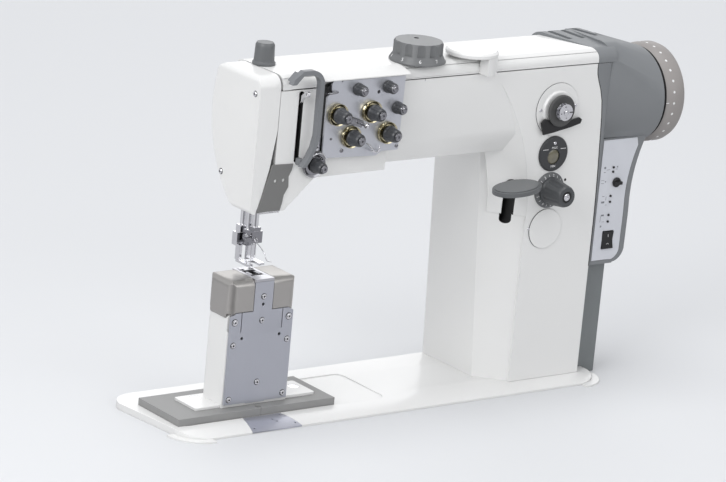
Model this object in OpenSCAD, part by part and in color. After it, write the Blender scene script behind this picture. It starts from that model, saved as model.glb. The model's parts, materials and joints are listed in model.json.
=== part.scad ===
// Double-needle lockstitch post-bed sewing machine, modelled as its separate pieces.
// Millimetres. X runs along the arm to the handwheel, Y away from the operator, Z up.
// The origin lies on the bed's top surface, on the needle line.

/* [Bed] */
// Bed length to the left of the needle line
bed_left = 147; // [140:1:170]
// Bed length beyond the column's right side
bed_beyond = 21; // [16:1:40]
// Needle line to the bed's front edge
bed_front = 84; // [82:1:100]
// Needle line to the bed's back edge
bed_back = 88; // [86:1:100]
// Height of the bed top above the table
bed_t = 8.5; // [7:0.5:12]
// Radius of the bed's corners
bed_r = 34; // [20:1:40]
// Depth of the bed casting's skirt below the bed top
skirt_h = 58; // [50:1:80]
// Wall of the skirt
skirt_t = 8; // [6:1:12]
// Needle line to where the bed's top begins to fall to its front edge
slope_from = 48; // [47:1:60]
// Height of the bed's front edge above the table
edge_h = 3; // [2.5:0.5:5]
// Thickness of the slide plate
slide_t = 2; // [1.5:0.5:2.5]
// Depth of the oil pan below the skirt
pan_h = 14; // [8:1:30]
// Width of the corner cushions' rim outside the bed
cushion_w = 11; // [6:1:14]

/* [Post] */
// Height of the throat plate above the bed top
post_top = 174; // [168:1:185]
// Width of the post's front plate
post_w = 95; // [92:1:100]
// Needle line to the post's front face
post_front = 31; // [29:0.5:36]
// Needle line to the post's back face
post_back = 21; // [20:0.5:28]
// How far the post body stands out beside its front plate
post_side = 1.5; // [1:0.5:4]
// Wall of the post
post_wall = 4.5; // [3:0.5:6]
// Length of the grey base plates, together
base_l = 238; // [210:1:250]
// Depth of the grey base plates
base_d = 91; // [80:1:100]
// Thickness of the grey base plates
base_t = 9; // [6:0.5:12]
// Reach of the foot flange to the left of the needle line
flange_left = 86; // [75:1:95]
// Reach of the foot flange to the right of the needle line
flange_right = 97; // [80:1:100]
// Thickness of the foot flange
flange_t = 3.2; // [2:0.2:5]
// Thickness of the post's front plate
plate_t = 3; // [2:0.5:4]
// Height of the hook covers
cap_h = 41; // [36:1:46]
// Half width of the tongue between the hook covers
tongue_w = 14.5; // [12:0.5:18]

/* [Arm] */
// Needle line to the column, the free passage
passage = 355; // [345:1:362]
// Needle line to the column's right side
column_right = 504; // [500:1:512]
// Needle line to the column's front face
column_front = 57; // [54:1:62]
// Needle line to the arm's back face
arm_back = 45; // [42:1:55]
// Height of the arm's underside above the bed
arm_under = 312; // [300:1:318]
// Height of the joint between the arm and its top cover
seam_z = 422; // [416:1:426]
// Height of the top cover
cover_h = 19; // [14:1:26]
// Wall of the arm and column
wall = 7; // [5:1:9]
// Height of the face cover's lower edge
face_low = 268; // [262:1:272]
// Needle line to the face cover's outer side
face_x = 51; // [48:1:58]
// Needle line to the joint between face cover and head
face_gap_x = 20; // [18:1:24]

/* [Drive] */
// Height of the arm shaft above the bed
shaft_z = 366; // [360:1:370]
// Distance of the arm shaft in front of the needle line
shaft_y = 14; // [8:1:18]
// Radius of the arm shaft
shaft_r = 9; // [7:0.5:11]
// Radius of the handwheel
wheel_r = 66; // [60:1:70]
// Thickness of the handwheel
wheel_t = 33; // [24:1:40]
// Radius of the lower shaft
low_shaft_r = 7.5; // [6:0.5:9]
// Radius of a shaft's toothed pulley
pulley_r = 22; // [18:1:26]
// Thickness of the toothed belt
belt_t = 4; // [3:0.5:5]
// Radial clearance of a shaft in its bush
fit = 0.05; // [0.02:0.01:0.09]
// Clearance between pieces that move past each other
gap = 0.4; // [0.3:0.1:0.6]

/* [Head] */
// Radius of the needle bar
needle_bar_r = 4; // [3:0.5:4.5]
// Spacing of the needle bar, the walking foot's bar and the presser bar
bar_pitch = 13; // [11:1:15]
// Distance between the two needles
needle_gauge = 6; // [4:0.4:8]
// Height of the presser foot's sole above the throat plate at rest
foot_lift = 10; // [6:1:12]
// Radius of the presser pressure knob
press_knob_r = 14.5; // [13:0.5:18]
// Radius of the stroke dial's skirt
stroke_r = 36; // [32:1:38]

/* [Controls] */
// Column's right side to the line of controls
ctrl_in = 82; // [78:1:86]
// Radius of the bobbin winder's round plate
winder_r = 35; // [32:1:37]
// Height of the bobbin winder
winder_z = 366; // [362:1:372]
// Radius of the oil gauge
gauge_r = 23.5; // [20:0.5:24]
// Height of the oil gauge
gauge_z = 307; // [305:1:309]
// Radius of the stitch length scale
scale_r = 24; // [22:0.5:25]
// Height of the stitch length dial
scale_z = 258; // [257:1:259]
// Radius of the round cover below the dial
blank_r = 26.5; // [22:0.5:27]
// Height of the round cover
blank_z = 206; // [200:1:207]

/* [Motor] */
// Length of the motor housing beyond the column
motor_l = 82; // [78:1:90]
// Rise of the housing's top above the joint between the arm and its cover
motor_rise = 23; // [20:1:30]
// Lowest point of the control panel
panel_low = 147; // [140:1:160]
// Needle line to the housing's front face
motor_front = 56; // [52:1:60]

/* [Tension] */
// Thickness of the tension plate
tens_t = 2.5; // [2:0.5:4]
// Radius of a main tension's discs
disc_r = 14; // [12:0.5:15]
// Radius of a small tension's knob
pre_r = 8; // [6:0.5:9]

/* [Hidden] */

$fn = 64;
eps = 0.01;
white = [0.90, 0.90, 0.89];
lilac = [0.66, 0.68, 0.72];
satin = [0.66, 0.64, 0.60];
knob_grey = [0.42, 0.43, 0.44];
dark_grey = [0.30, 0.31, 0.31];
steel = [0.75, 0.76, 0.78];
black = [0.08, 0.08, 0.09];
motor_grey = [0.45, 0.46, 0.48];

// Heights and places worked out from the driving sizes
pan_z = -skirt_h - pan_h;
skirt_x0 = -110;
bed_right = column_right + bed_beyond;
skirt_x1 = column_right - 26;
skirt_y = 72;
base_top = base_t;
flange_top = base_top + flange_t;
half_w = post_w / 2;
body_hw = half_w + post_side;
slope_h = bed_t - edge_h;
slope_d = bed_front - slope_from;
slope_r = (slope_d * slope_d + slope_h * slope_h) / (2 * slope_h);
slope_a = asin(slope_d / slope_r);
cap_z = post_top - cap_h;
cap_pivot_x = half_w - 6.5;
cap_pivot_z = cap_z - 12;
cap_arc = cap_z - 2 - cap_pivot_z;
cap_hw = body_hw + 1.5;
ear_room = 14;
low_y = 2;
low_z = -33;
belt_x = column_right - 64;
col_low_x = passage;
column_lean = 13;
throat_t = 3.5;
hook_x = 24;
hook_r = 14.5;
hook_top = post_top - throat_t - 6;
hook_h = 18;
cover_top = seam_z + cover_h;
cover_left = -face_gap_x + 3;
cover_right = column_right - 3;
stroke_x = 202;
stroke_y = -36;
press_at = [-6, 3];
cap_x = 285;
cap_y = -41;
cap_r = 34;
stem_r = 7;
lip_end = 168;
window_drop = 4;
bobbin_r = 11;
front = -column_front;
disc_at = front - 7;
bars_y = [0, bar_pitch, 2 * bar_pitch];
foot_z = post_top + foot_lift;
clamp_z = 213;
needle_tip = 190;
needle_r = 0.9;
sole_slot = 4.9;
tens_y = -column_front - 8;
tens_face = tens_y - tens_t;
// Places of the four main tensions and three small ones on their plate, X and Z
main_at = [[60, 390], [112, 390], [83, 360], [139, 361]];
pre_at = [[89, 420], [135, 420], [152, 392]];
lower_at = [36, 326];
motor_top = seam_z + motor_rise;
motor_x0 = column_right + 1.5;
motor_x1 = column_right + motor_l;
wheel_x0 = motor_x1 + 3;
motor_y = -motor_front;
box_d = 96;
panel_d = 1.5;
duct_x1 = column_right + 43;
lamp_x = column_right + 25.5;
lamp_z = [279, 273, 240, 232, 214, 205];
speed_at = [column_right + 33, 258];
rocker_x = column_right + 28.5;
rocker_z = 179.5;
// Front face, the column's slanted corner and the centre of its swept edge
arm_face = column_front - 5;
ctrl_x = column_right - ctrl_in;
face_x0 = ctrl_x - 34;
sweep_r = 292.4;
sweep_c = [face_x0 + 0.4 - sweep_r, 225];
// Pin of the reverse lever, and its slot
lever_x = ctrl_x - 51;
lever_y = 8;
lever_z = 262;
lever_pin_r = 3;
// Take-up lever's pin and the guard in front of it
take_x = 11.5;
take_y = -shaft_y - 8;
take_z = 372;
guard_y = -column_front - 15;
// Centres of the bed's front corners, screws of the post's front plate
bed_c = [[-bed_left + bed_r + 14, -bed_front + bed_r], [bed_right - bed_r, -bed_front + bed_r]];
flange_hole_at = [[-61, 12], [84, 4]];
post_screw_at = [[-41, 20], [41, 20], [0, 39], [-41, 91], [41, 91], [0, 120], [0, 151]];
web_z = 58;
hook_shaft_r = 5;
feed_hw = 4.6;
feed_top = post_top - 0.4;
feed_foot = post_top - throat_t - 2;
feed_bridge = 5.2;
prong_x = needle_gauge / 2 + 1.7;

// ---------- shapes that repeat ----------

// Arc points round c, from angle a to angle b
function arc(c, r, a, b, n = 10) =
  [for (i = [0:n]) c + r * [cos(a + (b - a) * i / n), sin(a + (b - a) * i / n)]];

// A rectangle with true round corners
module round_rect(x0, y0, x1, y1, r) {
  translate([x0 + r, y0]) square([x1 - x0 - 2 * r, y1 - y0]);
  translate([x0, y0 + r]) square([x1 - x0, y1 - y0 - 2 * r]);
  for (x = [x0 + r, x1 - r], y = [y0 + r, y1 - r]) translate([x, y]) circle(r);
}

// A Y-Z outline carried along X, and an X-Z outline carried along Y
module along_x(x0, x1) {
  translate([x0, 0, 0]) rotate([90, 0, 90]) linear_extrude(x1 - x0) children();
}
module along_y(y0, y1) {
  translate([0, y1, 0]) rotate([90, 0, 0]) linear_extrude(y1 - y0) children();
}
module rod_x(x0, x1, r, y = 0, z = 0) {
  translate([x0, y, z]) rotate([0, 90, 0]) cylinder(h = x1 - x0, r = r);
}
module rod_y(y0, y1, r, x = 0, z = 0) {
  translate([x, y1, z]) rotate([90, 0, 0]) cylinder(h = y1 - y0, r = r);
}
module box(a, b) {
  translate(a) cube(b - a);
}
// A turned piece whose axis points to the operator, its foot on plane y
module turned_front(x, y, z) {
  translate([x, y, z]) rotate([90, 0, 0]) rotate_extrude() children();
}
// A pan-head screw that faces the operator, its head standing on plane y
module front_screw(x, y, z, r = 4, h = 1.6, stem = 5) {
  turned_front(x, y, z)
    polygon([[0, -stem], [r * 0.5, -stem], [r * 0.5, 0], [r, 0], [r, h * 0.5], [r * 0.75, h],
      [r * 0.35, h], [r * 0.35, h * 0.4], [0, h * 0.4]]);
}

// ---------- bed ----------

module bed_outline() {
  polygon(concat(
    arc(bed_c[0], bed_r, 180, 270),
    arc(bed_c[1], bed_r, 270, 360),
    arc([bed_right - bed_r, bed_back - bed_r], bed_r, 0, 90),
    arc([-bed_left + bed_r + 3, bed_back - bed_r], bed_r, 90, 172)));
}
module bed_casting() {
  color(white) difference() {
    union() {
      translate([0, 0, -bed_t]) linear_extrude(bed_t) bed_outline();
      box([skirt_x0, -skirt_y, -skirt_h], [skirt_x1, skirt_y, -bed_t + eps]);
    }
    // room for the hook drive inside the skirt
    box([skirt_x0 + skirt_t, -skirt_y + skirt_t, -skirt_h - eps], [skirt_x1 - skirt_t, skirt_y - skirt_t, -bed_t]);
    // the top falls in an arc to the front edge
    along_x(-bed_left - 1, bed_right + 1)
      polygon(concat(slope(0, 1.6), [[-bed_front - 40, 5], [-slope_from + 3, 5]]));
    // shallow field round the post
    translate([0, 0, -1.2]) linear_extrude(2) round_rect(-122, -47, 195, 55, 12);
    // seat of the left base plate, where it reaches past the field
    box([-base_l / 2 - 5 - gap * 0.5, -base_d / 2 - gap * 0.5, -1.2], [-50, base_d / 2 + gap * 0.5, 1]);
    // way up into the post, and up into the column
    translate([0, 0, -bed_t - 1]) linear_extrude(bed_t + 2)
      round_rect(-half_w + 2, -post_front + 8, half_w - 2, post_back - 4, 4);
    box([col_low_x + 25, -30, -bed_t - 1], [column_right - 24, 44, 1]);
    // seat of the slide plate
    intersection() {
      translate([0, 0, -bed_t - 1]) linear_extrude(bed_t + 2) slide_outline(gap * 0.5, 4);
      along_x(-60, 60) polygon(concat([[-base_d / 2, 2], [-base_d / 2, -slide_t - 0.3]], slope(slide_t + 0.3, 1.5),
        [[-bed_front - 40, 2]]));
    }
    // bush of the lower shaft in the right wall
    rod_x(skirt_x1 - skirt_t - 1, skirt_x1 + 1, low_shaft_r + fit, low_y, low_z);
  }
  // bearing wall that carries the lower shaft's left end
  color(white) difference() {
    box([60, -skirt_y + skirt_t, -skirt_h], [74, skirt_y - skirt_t, -bed_t]);
    rod_x(58, 76, low_shaft_r + fit, low_y, low_z);
  }
}
module oil_pan() {
  color(dark_grey) difference() {
    translate([0, 0, pan_z]) linear_extrude(pan_h - gap * 0.1)
      round_rect(skirt_x0 - 4, -skirt_y - 4, skirt_x1 + 4, skirt_y + 4, 12);
    translate([0, 0, pan_z + 3]) linear_extrude(pan_h)
      round_rect(skirt_x0 + 12, -skirt_y + 12, skirt_x1 - 12, skirt_y - 12, 8);
  }
}
// The rim keeps the bed's corner from touching the table's edge
module cushion(c, a) {
  difference() {
    translate([c[0], c[1], -bed_t - 3]) linear_extrude(5.5)
      polygon(concat(arc([0, 0], bed_r + cushion_w, a, a + 90), arc([0, 0], bed_r - 14, a + 90, a)));
    translate([0, 0, -bed_t]) linear_extrude(bed_t) for (i = [0, 1]) translate(bed_c[i]) circle(bed_r + gap);
    box([skirt_x0 - gap, -skirt_y - gap, -skirt_h], [skirt_x1 + gap, skirt_y, 0]);
  }
}
module corner_cushions() {
  color(white) {
    cushion(bed_c[0], 180);
    cushion(bed_c[1], 270);
  }
}
// Y-Z points along the bed's falling top, sunk by some depth; far carries the arc past the front edge
function slope(sink, far = 1) = arc([-slope_from, -slope_r - sink], slope_r, 90, 90 + far * slope_a, 12);
// Plan of the slide plate, narrower at the post; g makes room round it, reach carries it forward
module slide_outline(g = 0, reach = 0) {
  polygon([[-29 - g, -base_d / 2 - 2 + g], [28 + g, -base_d / 2 - 2 + g],
    [37 + g + reach * 0.25, -bed_front - reach], [-38 - g - reach * 0.25, -bed_front - reach]]);
}
module slide_plate() {
  top = slope(0.2);
  color(lilac) difference() {
    intersection() {
      translate([0, 0, -bed_t]) linear_extrude(bed_t + 1) slide_outline();
      along_x(-50, 50) polygon(concat([[-base_d / 2, -0.2]], top,
        [for (i = [len(top) - 1:-1:0]) top[i] - [0, slide_t]], [[-base_d / 2, -0.2 - slide_t]]));
    }
    for (p = [[-25, -53], [24, -52], [6, -62], [9, -68], [-31, -77], [31, -77]])
      translate([p[0], p[1], -bed_t]) cylinder(h = bed_t + 2, r = 1.5);
  }
}

// ---------- post ----------

module post_base(side) {
  x0 = side < 0 ? -base_l / 2 - 5 : 0.15;
  x1 = side < 0 ? -0.15 : base_l / 2 - 5;
  color(dark_grey) difference() {
    box([x0, -base_d / 2, -1.2], [x1, base_d / 2, base_t]);
    // through-way of the post drive
    box([-half_w + 2, -post_front + 8, -2], [half_w - 2, post_back - 4, base_t + 1]);
    translate([0, -38, base_t - 3]) cylinder(h = 4, r = 4);
    for (p = flange_hole_at) translate([p[0], p[1], -3]) cylinder(h = 20, r = 2.6);
  }
}
module post_base_left() { post_base(-1); }
module post_base_right() { post_base(1); }

module post_plan(hw, front, back, r) {
  polygon(concat([[hw, -front]], arc([hw - r, back - r], r, 0, 90), arc([-hw + r, back - r], r, 90, 180),
    [[-hw, -front]]));
}
// Front view of what stays below the hook covers: a round shoulder about each cover's pivot
module shoulder_view() {
  translate([-body_hw - 1, base_top]) square([2 * body_hw + 2, cap_pivot_z - base_top]);
  translate([-cap_pivot_x, cap_pivot_z - 1]) square([2 * cap_pivot_x, cap_z - cap_pivot_z + 1]);
  for (s = [-1, 1]) intersection() {
    translate([s * cap_pivot_x, cap_pivot_z]) circle(cap_arc);
    translate([-body_hw, cap_pivot_z - 1]) square([2 * body_hw, cap_z - cap_pivot_z + 1]);
  }
}
module post_body() {
  color(white) difference() {
    union() {
      intersection() {
        translate([0, 0, base_top]) linear_extrude(cap_z) post_plan(body_hw, post_front - plate_t, post_back, 12);
        along_y(-60, 60) shoulder_view();
      }
      // foot flange
      translate([0, 0, base_top]) linear_extrude(flange_t)
        round_rect(-flange_left, -25, flange_right, 23, 3);
    }
    // room for the hook drive, above and below the bearing web
    for (z = [[base_top - 1, web_z], [web_z + 8, cap_pivot_z - 14]])
      box([-body_hw + post_wall, -post_front + plate_t + 2, z[0]],
        [body_hw - post_wall, post_back - post_wall, z[1]]);
    box([-cap_pivot_x + 1, -post_front + plate_t + 2, cap_pivot_z - 15],
      [cap_pivot_x - 1, post_back - post_wall, post_top]);
    // bushes of the hook shafts and the way of the feed bar, in the web
    for (s = [-1, 1]) translate([s * hook_x, low_y, web_z - 1]) cylinder(h = 10, r = hook_shaft_r + fit);
    box([-feed_hw - fit, -13.4, web_z - 1], [feed_hw + fit, 1, web_z + 9]);
    // room of the ears that the covers hang on
    for (s = [-1, 1]) rod_y(-post_front, -post_front + plate_t + 2.1, ear_room, s * cap_pivot_x, cap_pivot_z);
    // sunk seats of the flange's two screws
    for (p = flange_hole_at) translate([p[0], p[1], base_top - 1]) {
      cylinder(h = 10, r = 2.6);
      translate([0, 0, flange_t - 0.2]) cylinder(h = 5, r = 7);
    }
  }
}
module plate_view() {
  difference() {
    union() {
      translate([-half_w, flange_top + 1]) square([post_w, cap_z - flange_top - 1 - gap]);
      translate([-tongue_w + gap, flange_top]) square([2 * tongue_w - 2 * gap, post_top - throat_t - flange_top - 0.3]);
    }
    for (s = [-1, 1]) difference() {
      translate([s > 0 ? cap_pivot_x : -half_w - 1, cap_pivot_z]) square([half_w - cap_pivot_x + 1, 14]);
      translate([s * cap_pivot_x, cap_pivot_z]) circle(cap_arc - 0.1);
    }
    // pivot bosses and leaf-spring slots
    for (s = [-1, 1]) {
      translate([s * cap_pivot_x, cap_pivot_z]) circle(4.2);
      translate([s * 31 - 0.5, cap_pivot_z - 14]) square([1, 26]);
      translate([s * 28.5, 99]) circle(2);
    }
    translate([0, 141]) circle(2);
  }
}
module post_front_plate() {
  color(lilac) along_y(-post_front, -post_front + plate_t) plate_view();
}
module screws() {
  color(steel) {
    // two countersunk screws of the face cover
    for (p = [[-47, 419], [11.5, 306]]) translate([-face_x - 0.05, p[0], p[1]]) rotate([0, -90, 0])
      rotate_extrude() polygon([[0, 0], [3.4, 0], [3.4, 0.8], [2.6, 1.6], [1.2, 1.6], [1.2, 0.8], [0, 0.8]]);
    // two flat screws sunk in the flange
    for (p = flange_hole_at) translate([p[0], p[1], flange_top - 1.18]) difference() {
      union() {
        cylinder(h = 0.9, r = 6.9);
        translate([0, 0, -8]) cylinder(h = 8.1, r = 2.5);
      }
      translate([-6, -0.5, 0.5]) cube([12, 1, 1]);
    }
    for (p = post_screw_at) front_screw(p[0], -post_front - 0.05, p[1], 3.6, 1.4, 0);
    // cover pivots, each seated in the plate's round hole
    for (s = [-1, 1]) turned_front(s * cap_pivot_x, -post_front + plate_t, cap_pivot_z)
      polygon([[0, 0], [4.1, 0], [4.1, plate_t + 0.8], [2.4, plate_t + 0.8], [2.4, plate_t + 1.8],
        [1.2, plate_t + 1.8], [1.2, plate_t + 1], [0, plate_t + 1]]);
  }
}
// A hook cover: a rounded cap with a hook room inside. It swings out about its pivot.
module hook_cover(s) {
  r = cap_arc + gap;
  color(satin) difference() {
    intersection() {
      // plan of both covers together: small corners in front, large ones behind
      translate([0, 0, cap_z - 9]) linear_extrude(cap_h + 9) polygon(concat(
        arc([cap_hw - 12, 12 - post_front], 12, 270, 360, 12), arc([cap_hw - 16, post_back - 14], 16, 0, 90, 12),
        arc([16 - cap_hw, post_back - 14], 16, 90, 180, 12), arc([12 - cap_hw, 12 - post_front], 12, 180, 270, 12)));
      // the top edges roll over into the sides
      along_x(-cap_hw, cap_hw) polygon(concat([[-post_front, 0]],
        [[-post_front, post_top - 10]], arc([-post_front + 10, post_top - 10], 10, 180, 90),
        arc([post_back - 7, post_top - 9], 9, 90, 0), [[post_back + 2, 0]]));
      along_y(-60, 60) polygon(concat([[s * (tongue_w + 0.15), 0], [s * (tongue_w + 0.15), post_top]],
        arc([s * (cap_hw - 10), post_top - 10], 10, 90, s > 0 ? 0 : 180), [[s * cap_hw, 0]]));
    }
    // hook room, open below
    translate([0, 0, 0]) linear_extrude(post_top - 3.5)
      round_rect(s > 0 ? -20 : -cap_hw + 5, -post_front + 4.6, s > 0 ? cap_hw - 5 : 20, post_back - 2, 10);
    // clear of the shoulder all along the swing
    along_y(-60, 60) {
      translate([s * cap_pivot_x, cap_pivot_z]) circle(r);
      translate([s > 0 ? 0 : -cap_pivot_x, 0]) square([cap_pivot_x, cap_z + gap]);
      translate([s > 0 ? cap_pivot_x : -body_hw - gap, 0]) square([body_hw + gap - cap_pivot_x, cap_z - 1.5]);
      // a thin lip reaches down beside the body
      translate([-cap_hw - 1, 0]) square([2 * cap_hw + 2, cap_z - 7]);
    }
  }
  // ear that hangs on the pivot, behind the front plate
  color(satin) along_y(-post_front + plate_t + 0.3, -post_front + plate_t + 1.7) {
    translate([s * cap_pivot_x, cap_pivot_z]) circle(5);
    translate([s * cap_pivot_x - 5, cap_pivot_z]) square([10, cap_z - cap_pivot_z + 6]);
  }
}
module hook_cover_left() { hook_cover(-1); }
module hook_cover_right() { hook_cover(1); }

module throat_plate() {
  color(steel) difference() {
    union() {
      box([-tongue_w + gap, -post_front, post_top - throat_t], [tongue_w - gap, post_back, post_top]);
      // rails that carry it on the post's front and back walls
      box([-tongue_w + gap, post_back - 3, cap_z + gap], [tongue_w - gap, post_back, post_top]);
    }
    box([-9, -14.5, post_top - throat_t - 1], [9, 8, post_top + 1]);
    // slots over the hooks and two sunk screw seats
    for (s = [-1, 1]) {
      box([s * 7 - 3.6, 9, post_top - throat_t - 1], [s * 7 + 3.6, 13.4, post_top + 1]);
      translate([s * 9, 16.5, post_top - 1]) cylinder(h = 2, r = 1.8);
    }
  }
}
module feed_dog() {
  // a fork, open behind its bridge for both needles, with teeth on its prongs
  color(steel) {
    difference() {
      box([-8.4, -8.8, feed_foot], [8.4, 2.4, feed_top]);
      box([-prong_x, -feed_bridge, feed_foot - 1], [prong_x, 4, feed_top + 1]);
    }
    for (s = [-1, 1], i = [-4:0]) translate([s * (prong_x + 8.4) / 2, i * 2.1 + 0.8, feed_top]) rotate([90, 0, 90])
      translate([0, 0, -1.7]) linear_extrude(3.4) polygon([[-0.9, -0.2], [0.9, -0.2], [-0.3, 1.1]]);
  }
  // bar that carries the fork up and down through the web
  color(steel) box([-feed_hw, -7.6, web_z - 20], [feed_hw, -feed_bridge - 0.1, feed_foot - 0.02]);
}
// A rotary hook with its upright shaft and its small bevel wheel
module hook(s) {
  color(steel) translate([s * hook_x, low_y, 0]) {
    difference() {
      translate([0, 0, hook_top - hook_h]) cylinder(h = hook_h, r = hook_r);
      translate([0, 0, hook_top - hook_h + 3]) cylinder(h = hook_h, r = hook_r - 2);
      // hook point
      translate([0, 0, hook_top - 6]) rotate([0, 0, 20]) cube([hook_r + 1, 6, 7]);
    }
    translate([0, 0, low_z + 10]) cylinder(h = hook_top - hook_h - low_z - 9, r = hook_shaft_r);
    translate([0, 0, low_z + 10]) cylinder(h = 6, r1 = 7, r2 = 12);
  }
}
module hook_left() { hook(-1); }
module hook_right() { hook(1); }
module bobbin_cases() {
  color(lilac) for (s = [-1, 1]) translate([s * hook_x, low_y, hook_top - hook_h + 3.4]) {
    difference() {
      cylinder(h = hook_h - 3, r = hook_r - 2.5);
      translate([0, 0, 2]) cylinder(h = hook_h, r = hook_r - 4);
    }
    cylinder(h = hook_h - 4, r = 3);
    translate([0, 0, 2.4]) cylinder(h = 9, r = hook_r - 5);
  }
}

// ---------- drive ----------

module lower_shaft() {
  color(steel) {
    rod_x(-45, skirt_x1 + 4, low_shaft_r, low_y, low_z);
    // a bevel wheel for each hook shaft
    for (x = [-hook_x - 16.5, hook_x - 16.5]) translate([x, low_y, low_z]) rotate([0, 90, 0])
      cylinder(h = 4, r1 = 12, r2 = 9);
    rod_x(belt_x - 8, belt_x + 8, pulley_r, low_y, low_z);
  }
}
module belt_loop(r) {
  dy = low_y + shaft_y;
  len = sqrt(pow(shaft_z - low_z, 2) + dy * dy);
  translate([low_y, low_z]) rotate([0, 0, atan2(dy, shaft_z - low_z)]) {
    circle(r);
    translate([-r, 0]) square([2 * r, len]);
    translate([0, len]) circle(r);
  }
}
module toothed_belt() {
  color(black) along_x(belt_x - 6, belt_x + 6) difference() {
    belt_loop(pulley_r + belt_t);
    belt_loop(pulley_r + gap);
  }
}
module arm_shaft() {
  color(steel) {
    rod_x(28, wheel_x0 + 6, shaft_r, -shaft_y, shaft_z);
    rod_x(belt_x - 8, belt_x + 8, pulley_r, -shaft_y, shaft_z);
    // take-up crank disc with its counterweight
    rod_x(18, 28, 24, -shaft_y, shaft_z);
  }
}
module handwheel() {
  color([0.62, 0.60, 0.57]) translate([wheel_x0, -shaft_y, shaft_z]) rotate([0, 90, 0]) difference() {
    rotate_extrude($fn = 96) polygon([[shaft_r + fit, 0], [wheel_r - 9, 0], [wheel_r - 4, 2],
      [wheel_r, 9], [wheel_r, wheel_t - 7], [wheel_r - 2, wheel_t - 2], [wheel_r - 6, wheel_t],
      [22, wheel_t], [20, wheel_t - 3], [0.01, wheel_t - 3], [0.01, 7], [shaft_r + fit, 7]]);
  }
}

// ---------- arm ----------

// Section of the arm: its front face leans in towards the underside
module arm_section(inset = 0, top = 0) {
  y0 = -column_front + inset;
  y1 = arm_back - inset;
  z0 = arm_under + inset;
  polygon([[y0, seam_z + top], [y0, seam_z - 14], [-arm_face + inset, z0 + 26 - inset * 0.6],
    [-arm_face + 15 + inset * 0.6, z0], [y1 - 14, z0], [y1, z0 + 16], [y1, seam_z + top]]);
}
// Section of the head: the back edge curves forward as it falls
module head_section(inset = 0, top = 0) {
  c = [-109, 387];
  r = 150;
  difference() {
    intersection() {
      translate([-column_front + inset, face_low + inset])
        square([column_front + arm_back - 2 * inset - 3, seam_z + top - face_low - inset]);
      translate(c) circle(r - inset, $fn = 180);
    }
  }
}
// Plan of the column, with the slanted corner on its inner side
module column_plan(inset = 0) {
  x0 = col_low_x + inset;
  x1 = column_right - inset;
  polygon([[x0 - column_lean, bed_back - 2 - inset], [x0 - column_lean, -20 + inset * 0.4 + column_lean], [x0, -20 + inset * 0.4], [x0 + 37 - inset * 0.6, -column_front + inset],
    [x1, -column_front + inset], [x1, arm_back + 15 - inset], [x1 - 20, bed_back - 2 - inset]]);
}
// The column as a solid block, or the room inside it
module column_block(inset = 0, over = 0) {
  intersection() {
    translate([0, 0, -over]) linear_extrude(seam_z + 2 * over) column_plan(inset);
    along_y(-80, 100) polygon([[col_low_x + inset, -over], [col_low_x - column_lean + inset, arm_under],
      [col_low_x - column_lean + inset, seam_z + over], [column_right, seam_z + over], [column_right, -over]]);
    along_x(col_low_x - 20, column_right) polygon([[-column_front - 1, -over], [-column_front - 1, seam_z + over],
      [arm_back - inset, seam_z + over], [arm_back - inset, 385 - inset], [bed_back - inset, 300 - inset],
      [bed_back - inset, -over]]);
  }
}
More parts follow.
